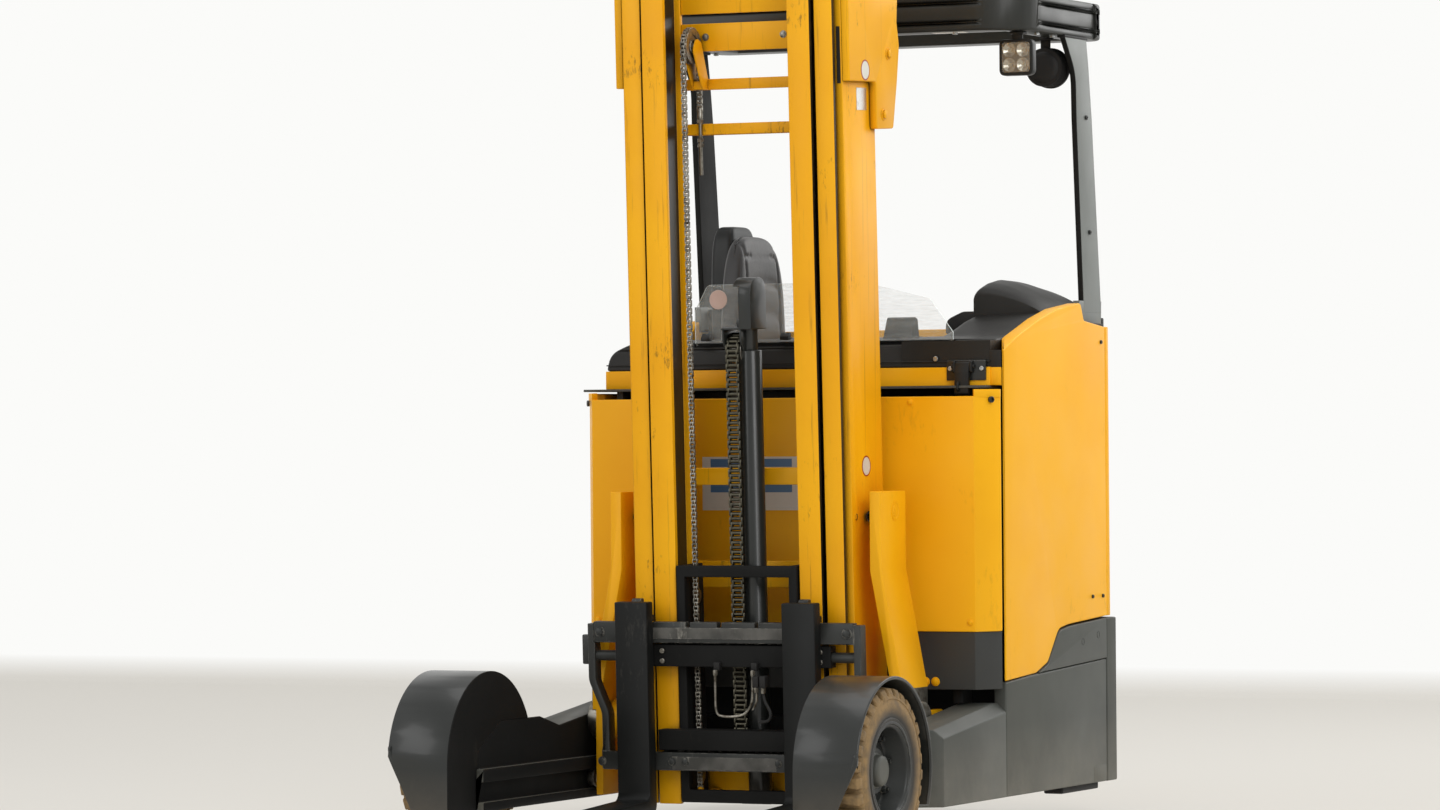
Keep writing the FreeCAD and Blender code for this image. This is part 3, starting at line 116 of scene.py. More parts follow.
def hexColour(code):
    channels = [int(code[i:i + 2], 16) / 255 for i in (1, 3, 5)]
    linear = [c / 12.92 if c <= 0.04045 else ((c + 0.055) / 1.055) ** 2.4 for c in channels]
    return (*linear, 1)


def add(tree, kind, links=None, **settings):
    # Adds one node. Settings are its properties, links its inputs, each a value or another node's output.
    node = tree.nodes.new(kind)
    for name, value in settings.items():
        setattr(node, name, value)
    for name, value in (links or {}).items():
        if isinstance(value, bpy.types.NodeSocket):
            tree.links.new(value, node.inputs[name])
        else:
            node.inputs[name].default_value = value
    return node


lightSettings = {
    "world": 0.66, "key": 290, "keyPlace": (7.5, -6.0, 5.5), "keySize": 4.5,
    "fill": 155, "fillPlace": (-5.5, -7.5, 4.5), "fillSize": 5.0,
    "top": 125, "topPlace": (0.5, 0.5, 6.5), "topSize": 5.0,
    "rear": 170, "rearPlace": (3.5, 5.4, 4.5), "rearSize": 4.5,
    "aim": (0, 0, 1.1), "seenSky": 0.96,
}


def makeLight():
    settings = lightSettings
    world = bpy.data.worlds.new("Studio")
    scene.world = world
    world.use_nodes = True
    sky = world.node_tree.nodes["Background"]
    sky.inputs["Color"].default_value = (1, 1, 1, 1)
    # The camera sees a nearly white sky, whatever light it gives.
    seen = add(world.node_tree, "ShaderNodeLightPath").outputs["Is Camera Ray"]
    strength = add(world.node_tree, "ShaderNodeMapRange", {0: seen, 3: settings["world"],
        4: settings["seenSky"]})
    world.node_tree.links.new(strength.outputs[0], sky.inputs["Strength"])
    for name in ("key", "fill", "top", "rear"):
        lamp = bpy.data.lights.new(name, "AREA")
        lamp.energy = settings[name]
        lamp.size = settings[name + "Size"]
        holder = bpy.data.objects.new(name, lamp)
        scene.collection.objects.link(holder)
        place = Vector(settings[name + "Place"])
        holder.location = place
        holder.rotation_euler = (Vector(settings["aim"]) - place).to_track_quat("-Z", "Y").to_euler()
    scene.view_settings.view_transform = "Standard"


stageSettings = {"floor": "#DAD7D1", "seenFloor": "#E1DED7", "seenWall": "#FBFBF9", "wall": 8.4, "high": 9,
    "half": 26, "front": 22, "cove": 0.12, "floorGlow": 0.68}


def studioPaper():
    # Matt paper sweep. Camera, mirror and glass rays see a plain pale tone that keeps the shadows.
    settings = stageSettings
    material = bpy.data.materials.new("studioPaper")
    material.use_nodes = True
    tree = material.node_tree
    tree.nodes.clear()
    place = add(tree, "ShaderNodeSeparateXYZ", {0: add(tree, "ShaderNodeTexCoord").outputs["Object"]})
    rise = add(tree, "ShaderNodeMapRange", {0: place.outputs["Z"], 1: 0.02, 2: settings["cove"]})
    seen = add(tree, "ShaderNodeMix", {0: rise.outputs[0], 6: hexColour(settings["seenFloor"]),
        7: hexColour(settings["seenWall"])}, data_type="RGBA")
    matt = add(tree, "ShaderNodeBsdfDiffuse", {"Color": hexColour(settings["floor"])})
    glow = add(tree, "ShaderNodeEmission", {"Color": seen.outputs[2], "Strength": 1.0})
    path = add(tree, "ShaderNodeLightPath")
    either = add(tree, "ShaderNodeMath", {0: path.outputs["Is Camera Ray"], 1: path.outputs["Is Glossy Ray"]},
        operation="MAXIMUM")
    anyOf = add(tree, "ShaderNodeMath", {0: either.outputs[0], 1: path.outputs["Is Transmission Ray"]},
        operation="MAXIMUM")
    # A share of the paper's own light keeps the truck's shadow on the floor.
    kept = add(tree, "ShaderNodeMapRange", {0: rise.outputs[0], 3: settings["floorGlow"], 4: 1.0})
    share = add(tree, "ShaderNodeMath", {0: anyOf.outputs[0], 1: kept.outputs[0]}, operation="MULTIPLY")
    front = add(tree, "ShaderNodeMixShader", {0: share.outputs[0], 1: matt.outputs[0], 2: glow.outputs[0]})
    # The paper is clear from behind, so that the truck shows from every side.
    behind = add(tree, "ShaderNodeNewGeometry").outputs["Backfacing"]
    shown = add(tree, "ShaderNodeMixShader", {0: behind, 1: front.outputs[0],
        2: add(tree, "ShaderNodeBsdfTransparent").outputs[0]})
    add(tree, "ShaderNodeOutputMaterial", {"Surface": shown.outputs[0]})
    return material


def makeStage():
    settings = stageSettings
    radius = settings["cove"]
    wallY = axleY + settings["wall"]
    line = [(-settings["front"], 0), (wallY - radius, 0)]
    line += [(wallY - radius + radius * math.sin(math.radians(a)),
        radius - radius * math.cos(math.radians(a))) for a in range(10, 90, 10)]
    line += [(wallY, radius), (wallY, settings["high"])]
    half = settings["half"]
    verts = [(x, y, z) for y, z in line for x in (-half, half)]
    faces = [(2 * i, 2 * i + 1, 2 * i + 3, 2 * i + 2) for i in range(len(line) - 1)]
    mesh = bpy.data.meshes.new("paperSweep")
    mesh.from_pydata(verts, [], faces)
    mesh.materials.append(studioPaper())
    sweep = bpy.data.objects.new("paperSweep", mesh)
    scene.collection.objects.link(sweep)


makeCamera()
makeLight()
makeStage()
print("camera, light and stage made")


# Materials. Patterns are sized in metres on the truck itself.

def startMaterial(name):
    material = bpy.data.materials.new(name)
    material.use_nodes = True
    tree = material.node_tree
    tree.nodes.clear()
    shader = add(tree, "ShaderNodeBsdfPrincipled")
    add(tree, "ShaderNodeOutputMaterial", {"Surface": shader.outputs[0]})
    place = add(tree, "ShaderNodeTexCoord").outputs["Object"]
    return material, tree, shader, place


def ramp(tree, value, low, high, least=0.0, most=1.0):
    # Spreads low to high over least to most, and holds it there.
    return add(tree, "ShaderNodeMapRange", {0: value, 1: low, 2: high, 3: least, 4: most}).outputs[0]


def noise(tree, place, scale, detail, **more):
    return add(tree, "ShaderNodeTexNoise", {"Vector": place, "Scale": scale, "Detail": detail,
        **more}).outputs[0]


def stretched(tree, place, scale, turn=(0, 0, 0)):
    return add(tree, "ShaderNodeMapping", {"Vector": place, "Scale": scale, "Rotation": turn}).outputs[0]


def product(tree, first, second):
    return add(tree, "ShaderNodeMath", {0: first, 1: second}, operation="MULTIPLY").outputs[0]


def mixed(tree, share, first, second):
    # Fades one colour into another. A colour is a hex code or another node's output.
    ends = [hexColour(end) if isinstance(end, str) else end for end in (first, second)]
    return add(tree, "ShaderNodeMix", {0: share, 6: ends[0], 7: ends[1]}, data_type="RGBA").outputs[2]


def bumped(tree, height, strength, distance):
    return add(tree, "ShaderNodeBump", {"Height": height, "Strength": strength,
        "Distance": distance}).outputs[0]


def setShader(tree, shader, **inputs):
    # Each input has the shader's own label, with _ for a space.
    for label, value in inputs.items():
        socket = shader.inputs[label.replace("_", " ")]
        if isinstance(value, bpy.types.NodeSocket):
            tree.links.new(value, socket)
        else:
            socket.default_value = value


paints = {
    # Gloss enamel sprayed on smooth sheet steel: warm yellow, faint orange peel, soft highlights.
    "yellowEnamel": {"colour": "#F5B20B", "shade": "#EFA907", "patch": 0.5, "rough": 0.42, "peel": 0.0035,
        "scuff": "#6B4A14", "scuffs": 0.08, "scuffSize": 0.02, "specular": 0.22},
    # The same enamel on rolled mast sections: grease runs down it, and its edges are worn dark.
    # Its corners are darkened with grease and painted shade.
    "mastEnamel": {"colour": "#F5B20B", "shade": "#EBA407", "patch": 0.6, "rough": 0.42, "peel": 0.004,
        "scuff": "#5C4218", "scuffs": 0.34, "scuffSize": 0.012, "specular": 0.22, "streak": 0.55,
        "greaseAndShade": "#2A2416", "cavity": 0.035, "wear": "#5A4726", "wearWide": 0.0025},
    # Textured grey powder coat on the heavy chassis steel: matt, fine grained, dusty near the floor.
    "greyPowderCoat": {"colour": "#4A4C47", "shade": "#424440", "patch": 0.4, "rough": 0.55, "peel": 0.0018,
        "scuff": "#3C3D3A", "scuffs": 0.12, "scuffSize": 0.015, "dust": "#8F8A7C", "dustHigh": 0.30,
        "wear": "#7D7E79", "wearWide": 0.003},
    # Paler grey enamel on the guard's folded posts.
    "greyPostEnamel": {"colour": "#747875", "shade": "#6B6F6C", "patch": 0.4, "rough": 0.42, "peel": 0.003,
        "scuff": "#4E504E", "scuffs": 0.06, "scuffSize": 0.01},
    # Semi-gloss black enamel: long soft highlights and a thin brown dust on top faces.
    "blackEnamel": {"colour": "#282A28", "shade": "#222422", "patch": 0.35, "rough": 0.33, "peel": 0.003,
        "scuff": "#4A463E", "scuffs": 0.08, "scuffSize": 0.02, "coat": 0.2,
        "dust": "#6F6455", "dustHigh": 0.22},
    # Thin black paint on forged and rolled carriage steel: rubbed bright on edges, and dark in corners
    # with grease and painted shade.
    "carriagePaint": {"colour": "#363836", "shade": "#2A2B29", "patch": 0.25, "rough": 0.42, "peel": 0.002,
        "scuff": "#77746C", "scuffs": 0.30, "scuffSize": 0.018, "wear": "#A19D93", "wearWide": 0.0035,
        "greaseAndShade": "#17150F", "cavity": 0.03},
    # Dark grey wheel enamel, chipped round the nuts.
    "rimEnamel": {"colour": "#2B2D2B", "shade": "#232423", "patch": 0.2, "rough": 0.38, "peel": 0.002,
        "scuff": "#7C7362", "scuffs": 0.25, "scuffSize": 0.012, "wear": "#8B8578", "wearWide": 0.002},
    # Yellow rail steel under a thick brown film of grease and rubber dust: dark, half shiny, streaked
    # upright. It is darkened further as painted shade for the channels between the rails.
    "greasedShadedRail": {"colour": "#2B2419", "shade": "#1B1711", "patch": 0.3, "rough": 0.33, "peel": 0.003,
        "scuff": "#8A621A", "scuffs": 0.35, "scuffSize": 0.02, "streak": 0.5},
    # Matt black steel deep inside the truck, dull with old grease and rubber dust.
    # It is darker still, as painted shade.
    "greasyShadedSteel": {"colour": "#191918", "shade": "#131312", "patch": 0.3, "rough": 0.68, "peel": 0.002,
        "specular": 0.2, "scuff": "#3A3832", "scuffs": 0.15, "scuffSize": 0.02},
    # Thin black stoving paint on forged forks: even, half matt.
    "forkPaint": {"colour": "#1A1B1A", "shade": "#151615", "patch": 0.4, "rough": 0.45, "peel": 0.002,
        "specular": 0.22, "scuff": "#55524B", "scuffs": 0.10, "scuffSize": 0.012, "wear": "#6D6A62",
        "wearWide": 0.002},
    # Dark grey powder coat of the battery tray.
    "darkPowderCoat": {"colour": "#343533", "shade": "#2D2E2C", "patch": 0.4, "rough": 0.55, "peel": 0.0018,
        "scuff": "#2A2A28", "scuffs": 0.12, "scuffSize": 0.015},
    # Carriage bars rubbed by loads: thin grey steel showing through scraped black paint.
    "scrapedCarriage": {"colour": "#5E5C57", "shade": "#403F3B", "patch": 0.08, "rough": 0.44, "peel": 0.002,
        "scuff": "#9C988E", "scuffs": 0.40, "scuffSize": 0.03, "wear": "#A8A49A", "wearWide": 0.003},
    # Battery steel box, acid-proof dark grey.
    "batteryPaint": {"colour": "#4B4E50", "shade": "#424547", "patch": 0.4, "rough": 0.5, "peel": 0.003,
        "scuff": "#2E2F30", "scuffs": 0.15, "scuffSize": 0.02},
}


def paintedSteel(name):
    finish = paints[name]
    material, tree, shader, place = startMaterial(name)
    patchy = ramp(tree, noise(tree, place, 1 / finish["patch"], 4), 0.38, 0.62)
    colour = mixed(tree, patchy, finish["colour"], finish["shade"])
    # Short handling scuffs, longer upright than across.
    speck = noise(tree, stretched(tree, place, (1, 1, 0.35)), 1 / finish["scuffSize"], 6, Roughness=0.7)
    area = noise(tree, place, 5.5, 2)
    scuffed = ramp(tree, product(tree, speck, area), 0.36, 0.46, most=finish["scuffs"] * 2)
    colour = mixed(tree, scuffed, colour, finish["scuff"])
    if "streak" in finish:
        run = noise(tree, stretched(tree, place, (55, 55, 0.9)), 1, 5, Roughness=0.65)
        colour = mixed(tree, ramp(tree, run, 0.60, 0.74, most=finish["streak"]), colour, finish["scuff"])
    if "dust" in finish:
        height = add(tree, "ShaderNodeSeparateXYZ", {0: place}).outputs["Z"]
        low = ramp(tree, height, finish["dustHigh"], 0.05, most=0.75)
        film = noise(tree, place, 9, 8, Roughness=0.7)
        colour = mixed(tree, product(tree, low, film), colour, finish["dust"])
    if "greaseAndShade" in finish:
        # Corners and narrow gaps are darkened by ambient occlusion: grease, and painted shade where light
        # hardly reaches.
        corner = add(tree, "ShaderNodeAmbientOcclusion", {"Distance": finish["cavity"]}, samples=6)
        shut = ramp(tree, corner.outputs["AO"], 0.62, 0.25, most=0.9)
        colour = mixed(tree, shut, colour, finish["greaseAndShade"])
    if "wear" in finish:
        # The rounded normal leaves the flat one only within a few millimetres of an edge.
        soft = add(tree, "ShaderNodeBevel", {"Radius": finish["wearWide"]}, samples=4)
        flat = add(tree, "ShaderNodeNewGeometry")
        same = add(tree, "ShaderNodeVectorMath", {0: soft.outputs[0], 1: flat.outputs["Normal"]},
            operation="DOT_PRODUCT")
        edge = ramp(tree, same.outputs["Value"], 0.985, 0.90)
        rubbed = product(tree, edge, ramp(tree, speck, 0.46, 0.60, most=0.8))
        colour = mixed(tree, rubbed, colour, finish["wear"])
    peel = noise(tree, place, 1 / finish["peel"], 2)
    setShader(tree, shader, Base_Color=colour,
        Roughness=ramp(tree, area, 0.3, 0.7, finish["rough"] - 0.05, finish["rough"] + 0.08),
        Normal=bumped(tree, peel, 0.12, finish["peel"] / 8), Specular_IOR_Level=finish.get("specular", 0.4),
        Coat_Weight=finish.get("coat", 0), Coat_Roughness=0.12)
    return material


plastics = {
    # Black ABS panels with a fine moulded grain: matt, dark grey where light rakes over them.
    "grainedPlastic": {"colour": "#242320", "shade": "#1D1C1A", "rough": 0.52, "grain": 0.0022,
        "deep": 0.00022},
    # Smooth black polypropylene covers and knobs.
    "smoothPlastic": {"colour": "#202120", "shade": "#191A19", "rough": 0.40, "grain": 0.004, "deep": 0.0001},
    # Dark grey roof shell, satin.
    "roofShell": {"colour": "#31322F", "shade": "#292A27", "rough": 0.36, "grain": 0.003, "deep": 0.00012},
    # Grey rubber floor mat.
    "matRubber": {"colour": "#3B3B3A", "shade": "#302F2E", "rough": 0.75, "grain": 0.003, "deep": 0.0004},
    # Black moulded rubber buffers and hoses.
    "blackRubber": {"colour": "#262524", "shade": "#1F1E1D", "rough": 0.62, "grain": 0.003, "deep": 0.0002},
    # Blank polyester label film, slightly yellowed.
    "labelFilm": {"colour": "#D9D7CE", "shade": "#CFCCC1", "rough": 0.35, "grain": 0.006, "deep": 0.00003},
    # The printed band of a label, plain blue.
    "blueFilm": {"colour": "#5C7FA3", "shade": "#52759A", "rough": 0.35, "grain": 0.006, "deep": 0.00003},
    # Round inspection sticker, faded pink and left blank.
    "pinkFilm": {"colour": "#D8C0B6", "shade": "#CFB3A9", "rough": 0.4, "grain": 0.004, "deep": 0.00003},
    # Display glass, switched off.
    "displayGlass": {"colour": "#2B3138", "shade": "#262C33", "rough": 0.12, "grain": 0.02, "deep": 0.00001},
    # Amber indicator lens.
    "amberLens": {"colour": "#E08A1C", "shade": "#C97612", "rough": 0.15, "grain": 0.003, "deep": 0.0002},
    # Red tail and switch caps.
    "redPlastic": {"colour": "#A8221B", "shade": "#8E1B16", "rough": 0.3, "grain": 0.004, "deep": 0.0001},
}


def mouldedPlastic(name):
    finish = plastics[name]
    material, tree, shader, place = startMaterial(name)
    cloud = noise(tree, place, 4, 5, Roughness=0.6)
    grain = add(tree, "ShaderNodeTexVoronoi", {"Vector": place, "Scale": 1 / finish["grain"]},
        feature="DISTANCE_TO_EDGE")
    setShader(tree, shader,
        Base_Color=mixed(tree, ramp(tree, cloud, 0.35, 0.65), finish["colour"], finish["shade"]),
        Roughness=ramp(tree, cloud, 0.3, 0.7, finish["rough"] - 0.06, finish["rough"] + 0.06),
        Normal=bumped(tree, grain.outputs["Distance"], 0.35, finish["deep"]), Specular_IOR_Level=0.3)
    return material


metals = {
    # Hard-chromed piston rod, drawn round: bright with faint rings.
    "chromedRod": {"colour": "#C9CBCC", "tarnish": "#8E8E8A", "rough": 0.16, "film": 0.15,
        "lines": (900, 900, 900)},
    # Machined steel left bare and greased: grey with a brown film.
    "greasedSteel": {"colour": "#9A968C", "tarnish": "#3B3222", "rough": 0.34, "film": 0.55,
        "lines": (300, 300, 1200)},
    # Roller chain plates: oiled dark steel, polished where they rub.
    "oiledChain": {"colour": "#545146", "tarnish": "#211E18", "rough": 0.34, "film": 0.35,
        "lines": (700, 700, 700)},
    # Zinc-plated screws and pipes.
    "zincPlate": {"colour": "#B9BBBA", "tarnish": "#77756F", "rough": 0.28, "film": 0.30,
        "lines": (500, 500, 500)},
}


def bareMetal(name):
    finish = metals[name]
    material, tree, shader, place = startMaterial(name)
    line = noise(tree, stretched(tree, place, finish["lines"]), 1, 3)
    film = noise(tree, place, 45, 6, Roughness=0.65)
    dirty = ramp(tree, film, 0.72 - finish["film"] * 0.5, 0.85 - finish["film"] * 0.35)
    setShader(tree, shader, Base_Color=mixed(tree, dirty, finish["colour"], finish["tarnish"]),
        Metallic=ramp(tree, dirty, 0, 1, 1.0, 0.45),
        Roughness=ramp(tree, line, 0.3, 0.7, finish["rough"] - 0.05, finish["rough"] + 0.12),
        Normal=bumped(tree, line, 0.15, 0.0002))
    return material


rubbers = {
    # Load tyre rubber with dried yard dust: brown on the tread and shoulder, black where it flexes at
    # the bead.
    "dustyTyreRubber": {"rubber": "#2B2823", "dust": "#8E744E", "from": 0.146, "to": 0.176, "most": 0.97},
    # Drive wheel tread, hard black polyurethane, scuffed grey-brown.
    "polyurethaneTread": {"rubber": "#2A2724", "dust": "#6E6354", "from": 0.120, "to": 0.175, "most": 0.6},
}


def wornRubber(name):
    finish = rubbers[name]
    material, tree, shader, place = startMaterial(name)
    # The dust follows the distance from the tyre's own axle, kept on the mesh as an attribute.
    height = add(tree, "ShaderNodeAttribute", attribute_name="fromAxle").outputs["Fac"]
    reach = ramp(tree, height, finish["from"], finish["to"])
    blotch = ramp(tree, noise(tree, place, 26, 8, Roughness=0.68), 0.30, 0.56, 0.35, finish["most"])
    amount = product(tree, reach, blotch)
    pits = noise(tree, place, 420, 4)
    setShader(tree, shader, Base_Color=mixed(tree, amount, finish["rubber"], finish["dust"]),
        Roughness=ramp(tree, amount, 0, 1, 0.55, 0.92), Normal=bumped(tree, pits, 0.4, 0.0006))
    return material


vinylSettings = {"colour": "#2C2B2B", "shade": "#222121", "rough": 0.45, "cell": 0.0024, "fold": 0.05}


def seatVinyl():
    # Black leathercloth on foam: small irregular grain cells and a low sheen on the crowns.
    settings = vinylSettings
    material, tree, shader, place = startMaterial("seatVinyl")
    cloud = noise(tree, place, 9, 5)
    # Real grain cells are about 1 mm. These are larger, so that they show.
    cells = add(tree, "ShaderNodeTexVoronoi", {"Vector": place, "Scale": 1 / settings["cell"],
        "Randomness": 0.9}, feature="DISTANCE_TO_EDGE")
    folds = noise(tree, place, 1 / settings["fold"], 3, Distortion=1.2)
    height = add(tree, "ShaderNodeMath", {0: folds, 1: 3.0, 2: cells.outputs["Distance"]},
        operation="MULTIPLY_ADD")
    setShader(tree, shader, Base_Color=mixed(tree, cloud, settings["colour"], settings["shade"]),
        Normal=bumped(tree, height.outputs[0], 0.4, 0.0006), Roughness=settings["rough"], Sheen_Weight=0.15)
    return material


def clearPolycarbonate():
    # Clear sheet, mostly seen by its rim with a painted highlight and by fine wiping marks.
    material, tree, shader, place = startMaterial("clearPolycarbonate")
    marks = noise(tree, stretched(tree, place, (30, 30, 190), (0, 0.5, 0)), 1, 5)
    # The body is drawn as a thin pale haze, so that what stands behind it keeps its place.
    setShader(tree, shader, Base_Color=hexColour("#DCE2E0"), IOR=1.585,
        Roughness=ramp(tree, marks, 0.45, 0.7, 0.02, 0.12), Alpha=ramp(tree, marks, 0.35, 0.75, 0.10, 0.20))
    return material


def sheetEdgeHighlight():
    # The sheet's cut edge is painted nearly white with a faint green tone:
    # a painted highlight for the light it gathers.
    material, tree, shader, place = startMaterial("sheetEdgeHighlight")
    setShader(tree, shader, Base_Color=mixed(tree, noise(tree, place, 60, 3), "#F6FAF8", "#DCE9E3"),
        Roughness=0.2, Alpha=0.85)
    return material


def lampGlass():
    # Clear moulded lens with shallow flutes over the light's reflectors.
    material, tree, shader, place = startMaterial("lampGlass")
    flute = add(tree, "ShaderNodeTexWave", {"Vector": place, "Scale": 40, "Distortion": 0.4},
        wave_type="BANDS")
    setShader(tree, shader, Base_Color=hexColour("#F4F1E8"), Roughness=0.06, Transmission_Weight=0.9,
        IOR=1.49, Normal=bumped(tree, flute.outputs["Fac"], 0.2, 0.0005))
    return material


finishes = {name: paintedSteel(name) for name in paints}
finishes |= {name: mouldedPlastic(name) for name in plastics}
finishes |= {name: bareMetal(name) for name in metals}
finishes |= {name: wornRubber(name) for name in rubbers}
finishes |= {"seatVinyl": seatVinyl(), "clearPolycarbonate": clearPolycarbonate(),
    "sheetEdgeHighlight": sheetEdgeHighlight(), "lampGlass": lampGlass()}
print(len(finishes), "materials made")

# The record's slot that each finish usually belongs to
usualSlots = {
    "yellow_paint": ("yellowEnamel", "mastEnamel"),
    "grey_paint": ("greyPowderCoat", "greyPostEnamel", "darkPowderCoat"),
    "black_paint": ("blackEnamel", "greasyShadedSteel"),
    "fork_steel": ("carriagePaint", "forkPaint", "scrapedCarriage"),
    "rim_steel": ("rimEnamel",),
    "battery_case": ("batteryPaint",),
    "roof_plastic": ("roofShell",),
    "black_plastic": ("grainedPlastic", "smoothPlastic", "blackRubber", "matRubber"),
    "panel_skin": ("labelFilm", "blueFilm"),
    "bright_steel": ("chromedRod", "greasedSteel", "zincPlate"),
    "clear_sheet": ("displayGlass", "amberLens", "redPlastic", "pinkFilm", "clearPolycarbonate", "lampGlass"),
    "chain_steel": ("oiledChain",),
    "tyre_rubber": ("dustyTyreRubber",),
    "drive_tread": ("polyurethaneTread",),
    "seat_cover": ("seatVinyl",),
}
slotOf = {finish: slot for slot, names in usualSlots.items() for finish in names}


# Mesh tools. A shape is a bmesh in millimetres, and finishPiece puts it in place and on its body.

def addBlock(shape, low, high, edge=0, levels=2):
    made = bmesh.ops.create_cube(shape, size=1)["verts"]
    for vert in made:
        vert.co = Vector([low[i] + (vert.co[i] + 0.5) * (high[i] - low[i]) for i in range(3)])
    if edge:
        roundEdges(shape, made, edge, levels)
    return made


def addSideBlock(shape, sign, low, high, edge=0, levels=2):
    # A block on the truck's left, or its mirror on the right.
    near, far = sorted((sign * low[0], sign * high[0]))
    return addBlock(shape, (near, *low[1:]), (far, *high[1:]), edge, levels)


def addSideBlocks(shape, low, high, edge=0, levels=2):
    # A block on both sides of the truck.
    for sign in (1, -1):
        addSideBlock(shape, sign, low, high, edge, levels)


def roundEdges(shape, verts, edge, levels=2, least=25):
    # Each edge is named once, always in the same order.
    rims = dict.fromkeys(rim for vert in verts if vert.is_valid for rim in vert.link_edges
        if len(rim.link_faces) == 2 and rim.calc_face_angle(0) > math.radians(least))
    bmesh.ops.bevel(shape, geom=list(rims), offset=edge, segments=levels, profile=0.5, affect="EDGES",
        clamp_overlap=True)


def across(axis, pair, along):
    # A point from its two coordinates across an axis and its place along it.
    spots = {"X": (along, pair[0], pair[1]), "Y": (pair[0], along, pair[1]), "Z": (pair[0], pair[1], along)}
    return Vector(spots[axis])


def addOutline(shape, axis, corners, low, high, edge=0, levels=2):
    # A closed outline drawn across an axis, made solid between two places along it.
    ends = [[shape.verts.new(across(axis, pair, along)) for pair in corners] for along in (low, high)]
    faces = [shape.faces.new(ends[0]), shape.faces.new(ends[1])]
    for i in range(len(corners)):
        j = (i + 1) % len(corners)
        faces.append(shape.faces.new((ends[0][i], ends[0][j], ends[1][j], ends[1][i])))
    bmesh.ops.recalc_face_normals(shape, faces=faces)
    if edge:
        roundEdges(shape, ends[0] + ends[1], edge, levels)
    return ends[0] + ends[1]


def roundCorners(corners, levels=6):
    # Each corner is (across, up) or (across, up, radius).
    points = []
    for i, corner in enumerate(corners):
        here = Vector(corner[:2])
        if len(corner) == 2:
            points.append(here)
            continue
        radius = corner[2]
        before = (Vector(corners[i - 1][:2]) - here).normalized()
        after = (Vector(corners[(i + 1) % len(corners)][:2]) - here).normalized()
        half = before.angle(after) / 2
        reach = radius / math.tan(half)
        for step in range(levels + 1):
            share = step / levels
            chord = (here + before * reach).lerp(here + after * reach, share)
            height = radius / math.sin(half) - radius - reach * math.cos(half)
            bulge = 4 * share * (1 - share) * height
            points.append(chord + (before + after).normalized() * bulge)
    return points


def roundBox(low, high, radius, levels=6):
    # A rectangle's outline with round corners.
    corners = ((low[0], low[1]), (high[0], low[1]), (high[0], high[1]), (low[0], high[1]))
    return roundCorners([(*corner, radius) for corner in corners], levels)


def addTurned(shape, axis, centre, profile, steps=48, shut=True):
    # A profile of (along, radius) turned about an axis. A radius of 0 closes to a pole.
    rings = []
    made = []
    for along, radius in profile:
        if radius == 0:
            ring = [shape.verts.new(across(axis, centre, along))]
        else:
            ring = [shape.verts.new(across(axis, (centre[0] + radius * math.cos(math.tau * i / steps),
                centre[1] + radius * math.sin(math.tau * i / steps)), along)) for i in range(steps)]
        rings.append(ring)
        made += ring
    faces = []
    pairs = list(zip(rings, rings[1:]))
    if shut and len(rings[0]) > 1 and len(rings[-1]) > 1:
        pairs.append((rings[-1], rings[0]))
    for first, second in pairs:
        for i in range(steps):
            j = (i + 1) % steps
            corners = [first[i % len(first)], first[j % len(first)], second[j % len(second)],
                second[i % len(second)]]
            faces.append(shape.faces.new(list(dict.fromkeys(corners))))
    bmesh.ops.recalc_face_normals(shape, faces=faces)
    return made


def addRod(shape, axis, centre, low, high, radius, steps=48):
    # A plain pin, rod or disc with flat ends.
    return addTurned(shape, axis, centre, [(low, 0), (low, radius), (high, radius), (high, 0)], steps)


def addPipe(shape, points, radius, steps=12, order=3):
    # A bent rigid pipe: a round sweep along a smooth line through a few bend points, closed at both ends.
    curve = bpy.data.curves.new("pipeLine", "CURVE")
    curve.dimensions = "3D"
    spline = curve.splines.new("NURBS")
    spline.points.add(len(points) - 1)
    for point, spot in zip(spline.points, points):
        point.co = (*spot, 1)
    spline.order_u = order
    spline.use_endpoint_u = True
    spline.resolution_u = 6
    curve.bevel_depth = radius
    curve.bevel_resolution = max(1, steps // 4)
    curve.use_fill_caps = True
    holder = bpy.data.objects.new("pipeLine", curve)
    scene.collection.objects.link(holder)
    mesh = bpy.data.meshes.new_from_object(holder.evaluated_get(bpy.context.evaluated_depsgraph_get()))
    count = len(shape.verts)
    shape.from_mesh(mesh)
    shape.verts.ensure_lookup_table()
    made = shape.verts[count:]
    bmesh.ops.remove_doubles(shape, verts=made, dist=radius / 50)
    bpy.data.objects.remove(holder)
    bpy.data.curves.remove(curve)
    bpy.data.meshes.remove(mesh)


def addMirror(shape):
    # Adds the same geometry on the truck's other side.
    copy = bmesh.ops.duplicate(shape, geom=shape.verts[:] + shape.edges[:] + shape.faces[:])["geom"]
    for item in copy:
        if isinstance(item, bmesh.types.BMVert):
            item.co.x = -item.co.x
    bmesh.ops.reverse_faces(shape, faces=[item for item in copy if isinstance(item, bmesh.types.BMFace)])


def made(add, *given, **more):
    # A new shape with one thing added to it.
    shape = bmesh.new()
    add(shape, *given, **more)
    return shape


def asMesh(shape, name="part"):
    mesh = bpy.data.meshes.new(name)
    shape.to_mesh(mesh)
    shape.free()
    return mesh


def linkPiece(name, mesh, body, finish, slot=None, stands=(), sharp=38):
    # Names a finished mesh, gives it its material and puts it on its body.
    slot = slot or slotOf[finish]
    mesh.name = name
    mesh.materials.clear()
    mesh.materials.append(finishes[finish])
    if sharp:
        mesh.shade_smooth()
        mesh.set_sharp_from_angle(angle=math.radians(sharp))
    piece = bpy.data.objects.new(name, mesh)
    scene.collection.objects.link(piece)
    if body:
        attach(piece, body)
    if stands:
        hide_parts(*stands)
    return piece


mastBodies = ("outer_mast", "middle_mast", "inner_mast", "free_lift_rod", "fork_carriage", "side_shift")


